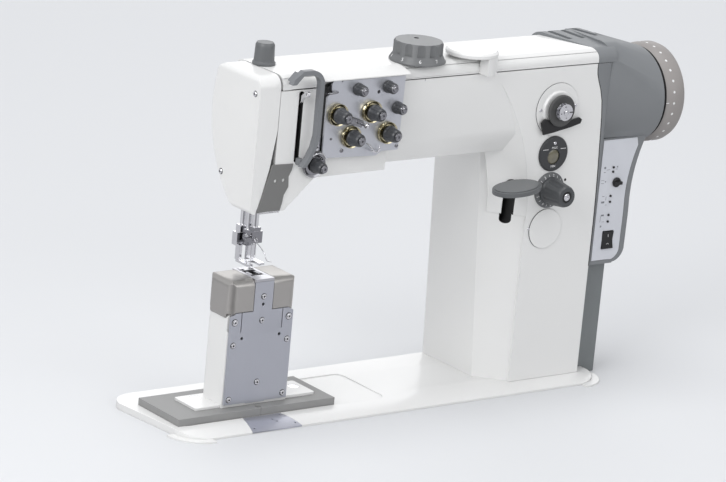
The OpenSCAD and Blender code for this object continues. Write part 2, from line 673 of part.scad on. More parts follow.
// Front view of the column's raised face: its left edge sweeps out into the arm
module column_face_view() {
  difference() {
    translate([passage - 55, 0]) square([column_right - passage + 55, seam_z]);
    translate(sweep_c) circle(sweep_r, $fn = 360);
    translate([passage - 55, -1]) square([face_x0 - passage + 55, 260]);
  }
}
module arm_casting() {
  color(white) difference() {
    union() {
      along_x(0, column_right) arm_section();
      intersection() {
        along_x(-face_gap_x + 0.6, 150) head_section();
        // the head's underside rises to meet the arm
        along_y(-80, 80) polygon([[-face_gap_x + 0.6, seam_z], [-face_gap_x + 0.6, 372],
          [-27, 324], [-35, 293], [-43, face_low], [0, face_low + 2], [42, arm_under - 4],
          [150, arm_under - 3], [156, arm_under + 1], [156, seam_z]]);
      }
      // block that guides the three bars
      along_x(-face_gap_x + 0.6, 34) polygon([[-20, 286], [34, 286], [arm_back - 5, 297], [arm_back - 5, seam_z], [-20, seam_z]]);
      // column: its left side leans towards the arm, its back is drawn in at the top
      column_block(0);
      // raised front face, with a slanted flank along its swept edge
      along_y(-column_front, -20) column_face_view();
      swept_flank();
    }
    // inside of the arm, open under the top cover
    along_x(8, column_right - wall) arm_section(wall, 1);
    box([-face_gap_x + 8, -column_front + wall, 304], [40, arm_back - 5 - wall, seam_z + 1]);
    intersection() {
      column_block(wall, 1);
      box([face_x0 - 4, -80, -1], [column_right, bed_back, seam_z + 2]);
    }
    // take-up slot
    along_y(-80, -column_front + wall + 2) round_rect(take_x - 3.5, 330, take_x + 3.5, 420, 3);
    // seat of the lower tension's post
    rod_y(-column_front - 1, -column_front + 4, 3, lower_at[0], lower_at[1]);
    // bars through the bottom of the head
    for (y = bars_y) translate([0, y, face_low - 5]) cylinder(h = 46, r = needle_bar_r + fit);
    // right-hand bush of the arm shaft
    rod_x(column_right - wall - 1, column_right + 5, shaft_r + fit, -shaft_y, shaft_z);
    // round seats on the front face
    rod_y(-column_front - 1, -column_front + wall + 1, gauge_r - 6, ctrl_x, gauge_z);
    rod_y(-column_front - 1, -column_front + wall + 1, 8, ctrl_x, scale_z);
    rod_y(-column_front - 1, -column_front + wall + 1, 9 + gap, ctrl_x, winder_z);
    rod_y(-column_front - 1, -column_front + 1.2, winder_r + 0.3, ctrl_x, winder_z);
    rod_y(-column_front - 1, -column_front + 1.2, blank_r + 0.3, ctrl_x, blank_z);
    // slot of the reverse lever, cut square into the slanted corner
    along_y(-80, lever_y + 9) round_rect(lever_x - 5.6, 212, lever_x + 5.6, lever_z + 11, 5.5);
  }
  // pins of the reverse lever and the take-up lever
  color(steel) {
    rod_x(lever_x - 9, lever_x + 9, lever_pin_r, lever_y, lever_z);
    rod_x(-face_gap_x + 7, take_x + 4, lever_pin_r, take_y, take_z);
  }
  // wall inside the arm that carries the arm shaft's left end
  color(white) difference() {
    along_x(200, 216) arm_section(wall - 0.5, -10);
    rod_x(198, 218, shaft_r + fit, -shaft_y, shaft_z);
  }
}
// The slanted flank left of the raised face, a turned surface about the sweep's centre
module swept_flank() {
  intersection() {
    translate([sweep_c[0], 0, sweep_c[1]]) rotate([90, 0, 0]) rotate_extrude(angle = 75, $fn = 360)
      polygon([[sweep_r + 0.5, column_front], [sweep_r + 0.5, 20], [sweep_r - 37, 20]]);
    box([passage - 55, -80, 150], [column_right, 0, seam_z]);
  }
}
// The cover's right end is cut on a slant in plan; the motor housing fills what it leaves
module slant_block(g) {
  translate([column_right - 64 + g, arm_back + 3, seam_z - 2]) rotate([0, 0, 27])
    translate([0, -140, 0]) cube([120, 170, 60]);
}
module top_cover() {
  r = 14;
  color(white) difference() {
    union() {
      along_x(cover_left, cover_right) difference() {
        polygon(concat([[-column_front, seam_z + 0.4]], arc([-column_front + r, cover_top - r], r, 180, 90),
          arc([arm_back - r, cover_top - r], r, 90, 0), [[arm_back, seam_z + 0.4]]));
        translate([-column_front + 4, seam_z - 1]) square([column_front + arm_back - 8, cover_h - 4 + 1]);
      }
      // web at the left end
      box([cover_left, -column_front + 3, seam_z + 0.4], [cover_left + 4, arm_back - 3, cover_top - 3]);
      // lip that reaches forward over the tension plate
      along_x(cover_left + 53, lip_end) polygon([[-column_front - 13, seam_z + 11], [-column_front - 13, seam_z + 12.5],
        [-column_front - 11, seam_z + 14], [-column_front + 9, cover_top - 0.6], [-column_front + 9, seam_z + 11]]);
      // tab beside the face cover
      box([cover_left, -column_front - 0.4, seam_z + 1], [cover_left + 12, -column_front + 3, cover_top - 10]);
    }
    // holes for the knobs' stems
    translate([press_at[0], press_at[1], seam_z - 5]) cylinder(h = 40, r = stem_r + fit);
    translate([stroke_x, stroke_y, seam_z - 5]) cylinder(h = 40, r = stem_r + fit);
    // slanted end against the motor housing
    slant_block(0);
  }
}
module face_cover() {
  color(white) difference() {
    intersection() {
      along_x(-face_x, 0) union() {
        head_section();
        // the top runs level with the top cover
        intersection() {
          translate([-column_front, seam_z - 1]) square([column_front + 36, cover_h + 1]);
          translate([-column_front, seam_z - 60]) round_rect(0, 0, column_front + 36, 60 + cover_h, 15);
        }
      }
      // front view: the joint leans back towards the bottom, outer edges are rounded
      along_y(-80, 80) difference() {
        polygon(concat([[-face_gap_x, cover_top], [-face_gap_x, 372], [-27.6, 324], [-35.6, 293],
          [-43.6, face_low]], arc([-face_x + 6, face_low + 6], 6, 270, 180), 
          arc([-face_x + 8, cover_top - 8], 8, 180, 90)));
      }
    }
    // hollow towards the head
    along_x(-face_x + 4, 5) head_section(5, 4);
  }
}
module chin_plate() {
  color(satin) along_y(-column_front - 1.4, -column_front - 0.02) difference() {
    polygon([[-25, 330], [7, 329], [6, 322], [1.5, 313], [2.5, 300], [-3.5, 290], [-5, 280], [-8, face_low + 2], [-42, face_low + 2]]);
    for (x = [-18, -6]) translate([x, 309]) circle(2.2);
    for (i = [0:4]) translate([-36 + i * 6, face_low + 1]) circle(1.3, $fn = 24);
  }
}

// ---------- threading ----------

module take_up_lever() {
  // a cranked lever on a pin in the head; its eye stands out through the slot
  color(steel) along_x(take_x - 1.9, take_x + 1.9) difference() {
    union() {
      translate([take_y, take_z]) circle(6.5);
      polygon([[take_y - 5, take_z - 4], [take_y + 2, take_z + 6], [-62, 418.5], [-68, 422], [-69, 417], [-63, 412.5]]);
      translate([-69, 419.5]) circle(4);
    }
    translate([-69, 419.5]) circle(1.6);
    translate([take_y, take_z]) circle(lever_pin_r + fit);
  }
}
module take_up_guard() {
  // a bent band that loops from the top of the head round the take-up's path
  color([0.55, 0.56, 0.58]) {
    along_y(guard_y - 4, guard_y + 5) {
      difference() {
        intersection() {
          translate([12, 431]) circle(19.5);
          translate([12, 431]) square([25, 25]);
        }
        translate([12, 431]) circle(13.5);
      }
      translate([-1, 444.5]) square([13.1, 6]);
      translate([25.5, 366]) square([6, 65.1]);
      polygon([[25.5, 366.1], [31.5, 366.1], [28, 352], [20, 336], [14, 328], [8, 328], [15, 338], [22, 352]]);
      polygon([[-0.9, 444.5], [-0.9, 450.5], [-14, 441], [-17, 434], [-11, 434]]);
    }
    // feet that reach back to the top cover and to the head
    along_y(guard_y + 4.9, -column_front + 1.2)
      polygon([[-11, 435.6], [-0.9, 446.1], [-0.9, 439], [-6, 433.2]]);
    box([10.5, guard_y + 4.9, 328], [16.5, -column_front - 0.02, 336]);
  }
}
module tension_plate() {
  color(lilac) difference() {
    union() {
      along_y(tens_face, tens_y) difference() {
        union() {
          polygon([[43, 342], [49, 335], [126, 332], [134, 337], [160, 337], [162, 432], [65, 432],
            [63, 425], [56, 420], [56, 417], [46, 415.5], [43, 412]]);
          round_rect(49, 418, 65, 432.7, 5);
        }
        for (p = pre_at) translate(p) circle(4);
        translate([122, 414]) circle(2.2);
      }
    }
    for (p = main_at) rod_y(-90, -40, 3 + fit, p[0], p[1]);
  }
}
module tension_carrier() {
  // block behind the plate, bored for the tension posts
  color(black) difference() {
    along_y(tens_y + 0.02, -column_front - 0.02) round_rect(44, 341, 154, 427, 5);
    for (p = main_at) rod_y(-90, -40, 3 + fit, p[0], p[1]);
    for (p = pre_at) rod_y(-90, -40, 4, p[0], p[1]);
  }
}
// Post, two thread discs and the rim that holds them
module disc_stack(x, z, y, r) {
  turned_front(x, y, z) polygon([[0, -4], [2.9, -4], [2.9, 0.01], [r * 0.62, 0.01], [r * 0.62, 1.5],
    [r - 2, 1.7], [r, 0.6], [r, 1.2], [r - 1, 3], [r, 4.8], [r, 5.6], [r - 3, 4.2], [6, 5.4], [6, 7],
    [3, 7], [3, 24.6], [5, 24.6], [5, 26], [4, 27], [1.6, 27], [1.6, 25.4], [0, 25.4]]);
}
module tension_discs() {
  color([0.78, 0.72, 0.52]) {
    for (p = main_at) disc_stack(p[0], p[1], tens_face, disc_r);
    disc_stack(lower_at[0], lower_at[1], -column_front - 0.02 - 1.5, disc_r + 2);
    rod_y(-column_front - 1.6, -column_front - 0.02, 8, lower_at[0], lower_at[1]);
  }
}
module tension_knob(p, y = tens_face, r = 10.5) {
  color(knob_grey) difference() {
    turned_front(p[0], y, p[1]) polygon([[3 + fit, 7.4], [r, 7.4], [r, 9], [r - 0.8, 10], [r - 2.4, 22],
      [r - 3.8, 24.2], [3 + fit, 24.2]]);
    for (i = [0:11]) translate([p[0], y, p[1]]) rotate([0, i * 30, 0]) translate([r + 1.5, 0, 0])
      rotate([90, 0, -7.6]) translate([0, 0, 10.8]) cylinder(h = 18, r = 1.2, $fn = 16);
  }
}
module tension_knob_a() { tension_knob(main_at[0]); }
module tension_knob_b() { tension_knob(main_at[1]); }
module tension_knob_c() { tension_knob(main_at[2]); }
module tension_knob_d() { tension_knob(main_at[3]); }
module lower_knob() { tension_knob(lower_at, -column_front - 1.52, 9.5); }
module pre_knob(p) {
  color(knob_grey) difference() {
    turned_front(p[0], tens_face - gap, p[1]) polygon([[0, -1.6], [3.9, -1.6], [3.9, 0], [pre_r, 0],
      [pre_r, 3], [pre_r - 0.6, 4], [pre_r - 1.2, 13], [pre_r - 3, 15.5], [3.6, 15.5], [3, 17], [1.4, 17.4], [0, 17.4]]);
    for (i = [0:9]) translate([p[0], tens_face, p[1]]) rotate([0, i * 36, 0])
      translate([pre_r + 0.1, 0, 0]) rotate([90, 0, -3.8]) translate([0, 0, 4.7]) cylinder(h = 15, r = 1, $fn = 16);
  }
}
module pre_knob_a() { pre_knob(pre_at[0]); }
module pre_knob_b() { pre_knob(pre_at[1]); }
module pre_knob_c() { pre_knob(pre_at[2]); }
module thread_guides() {
  color(steel) {
    // three-hole guide beside the lower tension
    difference() {
      box([33, -column_front - 6, 344], [42.5, -column_front - 0.02, 362]);
      for (z = [348, 353, 358]) rod_y(-column_front - 8, -column_front + 1, 1.4, 38, z);
    }
    // ball guide between the tensions and two pins under them
    rod_y(tens_face - 14, tens_face - 0.02, 2.2, 97, 376);
    translate([97, tens_face - 14, 376]) sphere(3.6);
    for (x = [110, 118]) rod_y(tens_face - 16, tens_face - 0.02, 1.6, x, 343);
  }
}

// ---------- needle and feet ----------

module needle_bar() {
  color(steel) {
    // clamp with its side screw under the bar
    difference() {
      union() {
        translate([0, 0, 228]) cylinder(h = 184, r = needle_bar_r);
        box([-8, -6, clamp_z], [8, 5.2, clamp_z + 15]);
        box([-5.5, -5, clamp_z + 14], [5.5, 4.6, clamp_z + 20]);
        translate([-7, -0.5, clamp_z + 8]) rotate([0, -90, 0]) cylinder(h = 7, r = 2.2);
        translate([-12, -0.5, clamp_z + 8]) rotate([0, -90, 0]) cylinder(h = 4, r = 3.6);
      }
      for (s = [-1, 1]) translate([s * needle_gauge / 2, 0, clamp_z - 1]) cylinder(h = 9, r = needle_r + fit);
      translate([-14.5, -0.5, clamp_z + 8]) cube([4, 9, 0.9], center = true);
    }
    // the two needles, held in the clamp
    for (s = [-1, 1]) translate([s * needle_gauge / 2, 0, 0]) {
      translate([0, 0, needle_tip + 6]) cylinder(h = clamp_z + 7 - needle_tip - 6, r = needle_r);
      translate([0, 0, needle_tip]) cylinder(h = 6, r1 = 0.25, r2 = needle_r);
    }
  }
}
module walking_foot() {
  color(steel) {
    // bar with its block
    translate([0, bar_pitch, 224]) cylinder(h = 182, r = needle_bar_r);
    box([-5.5, 8.4, 206], [5.5, 17, 226]);
  }
  // foot screwed under the block: a shank and a forked sole, open in front for both needles
  color(steel) {
    box([-3.6, 8.4, foot_z + 2], [3.6, 12, 205.98]);
    difference() {
      box([-7, -9, foot_z], [7, 12, foot_z + 3]);
      box([-sole_slot, -10, foot_z - 1], [sole_slot, 4.6, foot_z + 4]);
      for (s = [-1, 1]) translate([s * 7, -9, foot_z + 1]) rotate([0, 45, 0]) cube([1.6, 6, 1.6], center = true);
    }
  }
}
module presser_foot() {
  color(steel) {
    translate([0, 2 * bar_pitch, 224]) cylinder(h = 200, r = needle_bar_r);
    box([-11.6, 20.4, 203], [11.6, 31, 220]);
    box([-7, 21, 219], [7, 31, 229]);
    for (s = [-1, 1]) {
      // toe and upright of each side
      box([s > 0 ? 7.6 : -13, -8, foot_z], [s > 0 ? 13 : -7.6, 18, foot_z + 3]);
      box([s > 0 ? 7.6 : -11.6, 13, foot_z + 2], [s > 0 ? 11.6 : -7.6, 22, 206]);
    }
  }
}

// ---------- knobs on top ----------

module pressure_knob() {
  color(knob_grey) translate([press_at[0], press_at[1], cover_top]) difference() {
    rotate_extrude() polygon([[0, -18], [stem_r, -18], [stem_r, 0.4], [press_knob_r, 0.4], [press_knob_r, 3],
      [press_knob_r - 1.6, 5], [press_knob_r - 2.5, 25], [press_knob_r - 4, 28], [0, 28.5]]);
    for (i = [0:17]) rotate([0, 0, i * 20]) translate([press_knob_r - 1, 0, 7])
      cylinder(h = 24, r = 1, $fn = 16);
  }
}
module stroke_dial() {
  color([0.62, 0.62, 0.61]) translate([stroke_x, stroke_y, cover_top]) difference() {
    rotate_extrude() polygon([[0, -18], [stem_r, -18], [stem_r, 0.4], [stroke_r, 0.4], [stroke_r, 2],
        [stroke_r - 4.5, 9.5], [stroke_r - 4.5, 23.5], [stroke_r - 6, 26], [0, 27]]);
    for (i = [0:11]) rotate([0, 0, i * 30]) translate([stroke_r + 2, 0, 10.5])
      cylinder(h = 20, r = 8.5);
    translate([2, 8, 24]) cylinder(h = 6, r = 3.4);
  }
}
module top_cap() {
  // flat disc on a half-round foot that stands on the cover and down its front
  color(white) translate([cap_x, cap_y, cover_top]) difference() {
    union() {
      translate([0, 0, 4]) rotate_extrude() polygon([[0, 0], [cap_r - 1, 0], [cap_r, 1], [cap_r, 4.5],
        [cap_r - 3, 7], [0, 7.4]]);
      intersection() {
        translate([0, 0, 0.05]) cylinder(h = 4.2, r = cap_r - 0.5);
        box([2, -cap_r, 0], [cap_r, cap_r, 5]);
      }
      intersection() {
        translate([0, 0, -cover_h + 1]) cylinder(h = cover_h + 1, r = cap_r - 0.5);
        box([2, -cap_r, -cover_h + 1], [cap_r, -column_front - cap_y - 0.02, 1]);
      }
    }
  }
}

// ---------- controls on the column ----------

module winder_plate() {
  color(white) difference() {
    rod_y(front - 0.8, front + 1.2, winder_r, ctrl_x, winder_z);
    rod_y(front - 2, front + 3, 9 + gap, ctrl_x, winder_z);
  }
  color(white) difference() {
    turned_front(ctrl_x, front - 0.8, winder_z) polygon([[9.4, 0], [25, 0], [23, 2.6], [9.4, 2.6]]);
    rod_y(front - 6, front - 0.7, 4 + gap, ctrl_x + 2, winder_z - 22);
  }
}
module winder_spindle() {
  // spindle with an empty bobbin on its end
  color(steel) difference() {
    turned_front(ctrl_x, front, winder_z) polygon([[0, -16], [9, -16], [9, 6.6], [6, 6.6], [6, 11.4],
      [bobbin_r, 11.4], [bobbin_r, 12.4], [5, 12.4], [5, 17.4], [bobbin_r, 17.4], [bobbin_r, 18.4], [4.2, 18.4],
      [4.2, 17.2], [3, 17.2], [3, 19.4], [2, 20], [0, 20]]);
    // thread slit and holes of the bobbin's front cheek
    box([ctrl_x + 3.6, front - 19, winder_z - 0.8], [ctrl_x + bobbin_r + 1, front - 17, winder_z + 0.8]);
    for (a = [100, 190, 280]) rod_y(front - 19, front - 17, 1, ctrl_x + 7.4 * cos(a), winder_z + 7.4 * sin(a));
  }
}
module winder_disc() {
  // rubber-faced driving disc, pressed on the spindle
  color(dark_grey) turned_front(ctrl_x, disc_at, winder_z) polygon([[6 + fit, 0.6], [21, 0.6], [21, 3.2],
    [19, 4], [17, 3.2], [10, 3.2], [9, 4], [6 + fit, 4]]);
}
module winder_lever() {
  // two black wings under the spindle, on a short shaft
  color(black) {
    rod_y(front - 5, front - 1.1, 4, ctrl_x + 2, winder_z - 22);
    along_y(front - 6.8, front - 3.8) translate([ctrl_x, winder_z]) polygon([[-29, -15], [-24, -31],
      [-8, -29], [2, -27], [20, -24], [36, -20], [38, -15], [34, -12], [18, -15], [0, -16], [-16, -12], [-23, -10]]);
  }
}
module gauge_bezel() {
  color(dark_grey) difference() {
    turned_front(ctrl_x, front, gauge_z) polygon([[0, -6], [gauge_r - 6.1, -6],
      [gauge_r - 6.1, 0.02], [gauge_r, 0.02], [gauge_r, 2], [gauge_r - 1.5, 3.2], [0, 3.2]]);
    rod_y(front - 4, front + 7, 10, ctrl_x, gauge_z - window_drop);
    // sunk seat of its screw
    rod_y(front - 4, front - 2.2, 2.6, ctrl_x, gauge_z + 14.5);
  }
}
module gauge_window() {
  color([0.75, 0.62, 0.35]) turned_front(ctrl_x, front, gauge_z - window_drop)
    polygon([[0, -4], [9.95, -4], [9.95, 1.2], [8, 2.2], [0, 2.8]]);
}
module stitch_scale() {
  color(knob_grey) turned_front(ctrl_x, front, scale_z) polygon([[8 + gap, 0.02], [scale_r, 0.02],
    [scale_r, 1.4], [scale_r - 7, 4], [8 + gap, 4]]);
}
module stitch_knob() {
  color(knob_grey) difference() {
    union() {
      turned_front(ctrl_x, front, scale_z) polygon([[0, -14], [7.9, -14], [7.9, 4.4], [18.5, 4.4], [18.5, 7],
        [17.4, 8.6], [14.4, 34], [12.8, 37.5], [8, 38], [7.4, 36.6], [0, 36.6]]);
    }
    for (i = [0:8]) translate([ctrl_x, front, scale_z]) rotate([0, i * 40, 0]) translate([22, 0, 0])
      rotate([90, 0, -6.8]) translate([0, 0, 11]) cylinder(h = 40, r = 4.2);
  }
}
module paddle_view(inset, h) {
  linear_extrude(h) polygon([for (a = [0:10:350]) [(38 - inset) * cos(a), (25 - inset) * sin(a)]]);
}
module reverse_lever() {
  color(knob_grey) {
    // boss and arm inside the column, then the flat paddle in front of the slot
    along_x(lever_x - 5, lever_x + 5) difference() {
      union() {
        translate([lever_y, lever_z]) circle(8);
        polygon([[lever_y - 3, lever_z - 5], [lever_y - 3, lever_z + 5], [-64, 268], [-82, 272], [-82, 266], [-64, 259]]);
      }
      translate([lever_y, lever_z]) circle(lever_pin_r + fit);
    }
    translate([lever_x - 25, -84, 271]) rotate([0, -4, 8]) {
      paddle_view(0, 5.5);
      translate([0, 0, 5.5 - eps]) paddle_view(3, 1.5);
      translate([0, 0, -1.5]) paddle_view(4, 1.5 + eps);
    }
  }
}
module round_cover() {
  color(white) {
    rod_y(front - 1.2, front + 1.2, blank_r, ctrl_x, blank_z);
  }
}

// ---------- motor and switches ----------

// Front view of the control box below the motor
module control_box_view() {
  translate([column_right, 0]) polygon(concat([[1.5, panel_low], [40, panel_low]],
    arc([38, panel_low + 22], 21, -84, -10, 6), [[59.5, 212]], arc([264, 235], 205, 180, 156, 8), [[1.5, 319]]));
}
module panel_view(g = 0) {
  translate([column_right, 0]) polygon(concat([[4.5 + g, panel_low + 5 + g], [27, panel_low + 5 + g]],
    arc([34, panel_low + 21], 17 - g, -78, -12, 6), [[51.5 - g, 212]], arc([241, 235], 190 + g, 180, 158, 8),
    [[62, 317 - g], [4.5 + g, 317 - g]]));
}
module motor_housing() {
  color(motor_grey) difference() {
    union() {
      // squarish at the column, round at the handwheel
      hull() {
        along_x(motor_x0, motor_x0 + 18) polygon(concat([[motor_y, 321], [motor_y, 400]],
          arc([motor_y + 24, motor_top - 24], 24, 160, 90, 4), arc([arm_back - 10, motor_top - 16], 16, 90, 0, 4),
          [[arm_back + 6, 300]]));
        translate([motor_x1 - 1, -shaft_y, shaft_z]) rotate([0, 90, 0]) cylinder(h = 1, r = wheel_r - 2, $fn = 48);
      }
      along_y(motor_y, motor_y + box_d) control_box_view();
      // the part that fills the slanted end of the top cover
      intersection() {
        along_x(column_right - 66, motor_x0 + 10) polygon(concat([[-column_front, seam_z + 0.6]],
          arc([-column_front + 15, cover_top - 15], 15, 180, 90), arc([arm_back - 14, motor_top - 16], 16, 90, 0),
          [[arm_back + 2, seam_z + 0.6]]));
        slant_block(0.6);
      }
    }
    // inside, with the bearing seat of the shaft
    rod_x(motor_x0 - 1, motor_x1 - 8, 38, -shaft_y, shaft_z);
    rod_x(motor_x0 - 1, motor_x1 + 1, shaft_r + 1, -shaft_y, shaft_z);
    // cooling slots on top
    for (i = [0:3]) translate([motor_x0 - 33 + i * 22, -6, motor_top - 5]) rotate([0, 0, 10])
      cube([8, 46, 20]);
    // recess of the control panel, seats of the switch and the speed knob
    along_y(motor_y - 30, motor_y + panel_d) panel_view();
    box([rocker_x - 9.5, motor_y - 1, rocker_z - 12.5], [rocker_x + 9.5, motor_y + 12, rocker_z + 12.5]);
    rod_y(motor_y - 1, motor_y + 11, 3 + fit, speed_at[0], speed_at[1]);
  }
}
module control_panel() {
  color([0.72, 0.73, 0.77]) along_y(motor_y + 0.1, motor_y + panel_d - 0.05) difference() {
    panel_view(0.4);
    translate([rocker_x - 9.5, rocker_z - 12.5]) square([19, 25]);
    translate(speed_at) circle(3.6);
  }
}
module panel_lamps() {
  color(black) for (z = lamp_z) turned_front(lamp_x, motor_y + 0.08, z)
    polygon([[0, 0], [1.6, 0], [1.6, 1.4], [1, 2], [0, 2.2]]);
}
module speed_knob() {
  color(black) {
    turned_front(speed_at[0], motor_y, speed_at[1]) polygon([[0, -10], [3, -10], [3, 0.2], [6.5, 0.2], [6.5, 2],
      [5, 3], [0, 3]]);
    box([speed_at[0] - 5.5, motor_y - 7, speed_at[1] - 2], [speed_at[0] + 5.5, motor_y - 2.9, speed_at[1] + 2]);
  }
}
module rocker_switch() {
  color(black) {
    along_x(rocker_x - 9, rocker_x + 9) translate([motor_y + 3, rocker_z])
      polygon([[-5.6, -11.4], [-2.6, 0], [-4.4, 11.4], [3, 11.4], [5, 0], [3, -11.4]]);
    // ends of its pivot
    rod_x(rocker_x - 9.4, rocker_x + 9.4, 1.5, motor_y + 3, rocker_z);
  }
}

module cable_duct() {
  // open-backed channel that leads the cables down behind the bed's edge
  color([0.48, 0.50, 0.50]) difference() {
    along_y(-40, 10) polygon([[motor_x0, panel_low - 0.3], [duct_x1, panel_low - 0.3], [duct_x1, -bed_t],
      [bed_right + 0.5, -bed_t], [bed_right + 0.5, 0.3], [motor_x0, 0.3]]);
    box([motor_x0 + 4, -34, 4], [duct_x1 - 4, 11, panel_low - 5]);
  }
}

bed_casting();
oil_pan();
corner_cushions();
slide_plate();
post_base_left();
post_base_right();
post_body();
post_front_plate();
screws();
hook_cover_left();
hook_cover_right();
throat_plate();
feed_dog();
hook_left();
hook_right();
bobbin_cases();
lower_shaft();
toothed_belt();
arm_shaft();
handwheel();
arm_casting();
top_cover();
face_cover();
take_up_lever();
take_up_guard();
chin_plate();
tension_plate();
tension_carrier();
tension_discs();
tension_knob_a();
tension_knob_b();
tension_knob_c();
tension_knob_d();
pre_knob_a();
pre_knob_b();
pre_knob_c();
lower_knob();
thread_guides();
needle_bar();
walking_foot();
presser_foot();
pressure_knob();
stroke_dial();
top_cap();
winder_plate();
winder_spindle();
winder_disc();
winder_lever();
gauge_bezel();
gauge_window();
stitch_scale();
stitch_knob();
reverse_lever();
round_cover();
motor_housing();
control_panel();
panel_lamps();
speed_knob();
rocker_switch();
cable_duct();
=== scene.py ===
import json
import math
import bmesh
import bpy
from mathutils import Matrix, Vector

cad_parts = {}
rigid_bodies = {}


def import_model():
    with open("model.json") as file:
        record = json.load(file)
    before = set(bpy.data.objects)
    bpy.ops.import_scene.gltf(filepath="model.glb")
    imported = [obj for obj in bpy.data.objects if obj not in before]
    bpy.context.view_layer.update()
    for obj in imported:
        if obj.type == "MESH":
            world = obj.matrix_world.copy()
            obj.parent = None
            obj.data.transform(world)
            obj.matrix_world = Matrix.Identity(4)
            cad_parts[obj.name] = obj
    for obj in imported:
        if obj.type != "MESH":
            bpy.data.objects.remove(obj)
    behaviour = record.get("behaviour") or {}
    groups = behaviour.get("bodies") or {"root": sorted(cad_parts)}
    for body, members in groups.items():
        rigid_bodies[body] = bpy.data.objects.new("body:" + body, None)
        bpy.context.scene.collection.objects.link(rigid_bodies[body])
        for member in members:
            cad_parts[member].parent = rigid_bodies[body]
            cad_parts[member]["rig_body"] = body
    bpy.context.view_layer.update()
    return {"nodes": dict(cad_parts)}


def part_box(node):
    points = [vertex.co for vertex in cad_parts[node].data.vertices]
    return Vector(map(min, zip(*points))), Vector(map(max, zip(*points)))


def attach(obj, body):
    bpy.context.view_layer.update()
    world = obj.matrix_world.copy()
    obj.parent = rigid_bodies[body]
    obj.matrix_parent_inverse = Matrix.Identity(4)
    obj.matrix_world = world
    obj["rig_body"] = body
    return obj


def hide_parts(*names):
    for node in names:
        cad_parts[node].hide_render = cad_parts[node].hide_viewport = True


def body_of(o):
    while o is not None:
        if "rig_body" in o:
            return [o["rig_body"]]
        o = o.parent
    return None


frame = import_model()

MM = 0.001

# ---------- Studio ----------
# The machine sits in a table's cut-out, so the pale floor lies level with the table, under the
# bed's rim and the corner cushions. Large soft lamps stand above, left, in front and behind it.

skirt_height = 49.5 * MM
table_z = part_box("bed_casting")[0][2] + skirt_height
floor_mesh = bpy.data.meshes.new("floor")
shape = bmesh.new()
bmesh.ops.create_grid(shape, x_segments=1, y_segments=1, size=14)
bmesh.ops.translate(shape, verts=shape.verts, vec=(0, 4, table_z))
shape.to_mesh(floor_mesh)
shape.free()
floor = bpy.data.objects.new("floor", floor_mesh)
bpy.context.collection.objects.link(floor)


class Value:
    """One output in a material's node tree; arithmetic on it adds Math nodes."""

    def __init__(self, finish, socket):
        self.finish = finish
        self.socket = socket

    def maths(self, operation, *terms):
        return self.finish.add("ShaderNodeMath", {"operation": operation}, *terms)

    def __add__(self, other):
        return self.maths("ADD", self, other)

    __radd__ = __add__

    def __sub__(self, other):
        return self.maths("SUBTRACT", self, other)

    def __rsub__(self, other):
        return self.maths("SUBTRACT", other, self)

    def __mul__(self, other):
        return self.maths("MULTIPLY", self, other)

    __rmul__ = __mul__

    def __pow__(self, other):
        return self.maths("POWER", self, other)


class Finish:
    """A surface finish: one material with its Principled shader and what feeds it."""

    def __init__(self, name, tree=None, **sockets):
        if tree is None:
            self.material = bpy.data.materials.new(name)
            self.material.use_nodes = True
            tree = self.material.node_tree
        self.tree = tree
        self.shader = tree.nodes.get("Principled BSDF")
        for socket, value in sockets.items():
            self.shader.inputs[socket.replace("_", " ")].default_value = value

    def add(self, kind, settings, *inputs, output=0, **named):
        node = self.tree.nodes.new(kind)
        for key, value in settings.items():
            if key == "stops":
                while len(node.color_ramp.elements) < len(value):
                    node.color_ramp.elements.new(1)
                for element, (place, colour) in zip(node.color_ramp.elements, value):
                    element.position = place
                    element.color = colour
            else:
                setattr(node, key, value)
        for socket, value in list(enumerate(inputs)) + list(named.items()):
            if isinstance(value, Value):
                self.tree.links.new(value.socket, node.inputs[socket])
            elif value is not None:
                node.inputs[socket].default_value = value
        return Value(self, node.outputs[output])

    def feed(self, socket, value):
        self.tree.links.new(value.socket, self.shader.inputs[socket])

    def grain(self, scale, stretch=(1, 1, 1), detail=3, rough=0.5):
        """Noise fixed to the piece, drawn out along an axis for brushed metal."""
        place = self.add("ShaderNodeTexCoord", {}, output="Object")
        place = self.add("ShaderNodeMapping", {}, Vector=place, Scale=stretch)
        return self.add("ShaderNodeTexNoise", {}, Vector=place, Scale=scale, Detail=detail,
                        Roughness=rough, output="Fac")

    def blend(self, amount, first, second):
        mix = self.add("ShaderNodeMix", {"data_type": "RGBA"}, amount, output=2)
        for index, colour in ((6, first), (7, second)):
            if isinstance(colour, Value):
                self.tree.links.new(colour.socket, mix.socket.node.inputs[index])
            else:
                mix.socket.node.inputs[index].default_value = (*colour, 1)
        return mix

    def relief(self, height, depth, edge):
        """Fine relief on top of an edge that is softened over the given radius."""
        soft = self.add("ShaderNodeBevel", {"samples": 6}, Radius=edge)
        return self.add("ShaderNodeBump", {}, Strength=1.0, Distance=depth, Height=height, Normal=soft)


def seen_by(finish, *paths):
    """1 for rays of the given kinds, else 0."""
    ray = finish.add("ShaderNodeLightPath", {})
    kinds = [Value(finish, ray.socket.node.outputs[path]) for path in paths]
    seen = kinds[0]
    for kind in kinds[1:]:
        seen = seen.maths("MAXIMUM", seen, kind)
    return seen


def staged(finish, lit, mirrored, shown):
    """One colour for soft light, one for mirror-like surfaces and one for the camera."""
    return finish.blend(seen_by(finish, "Is Camera Ray", "Is Transmission Ray"),
                        finish.blend(seen_by(finish, "Is Glossy Ray"), lit, mirrored), shown)


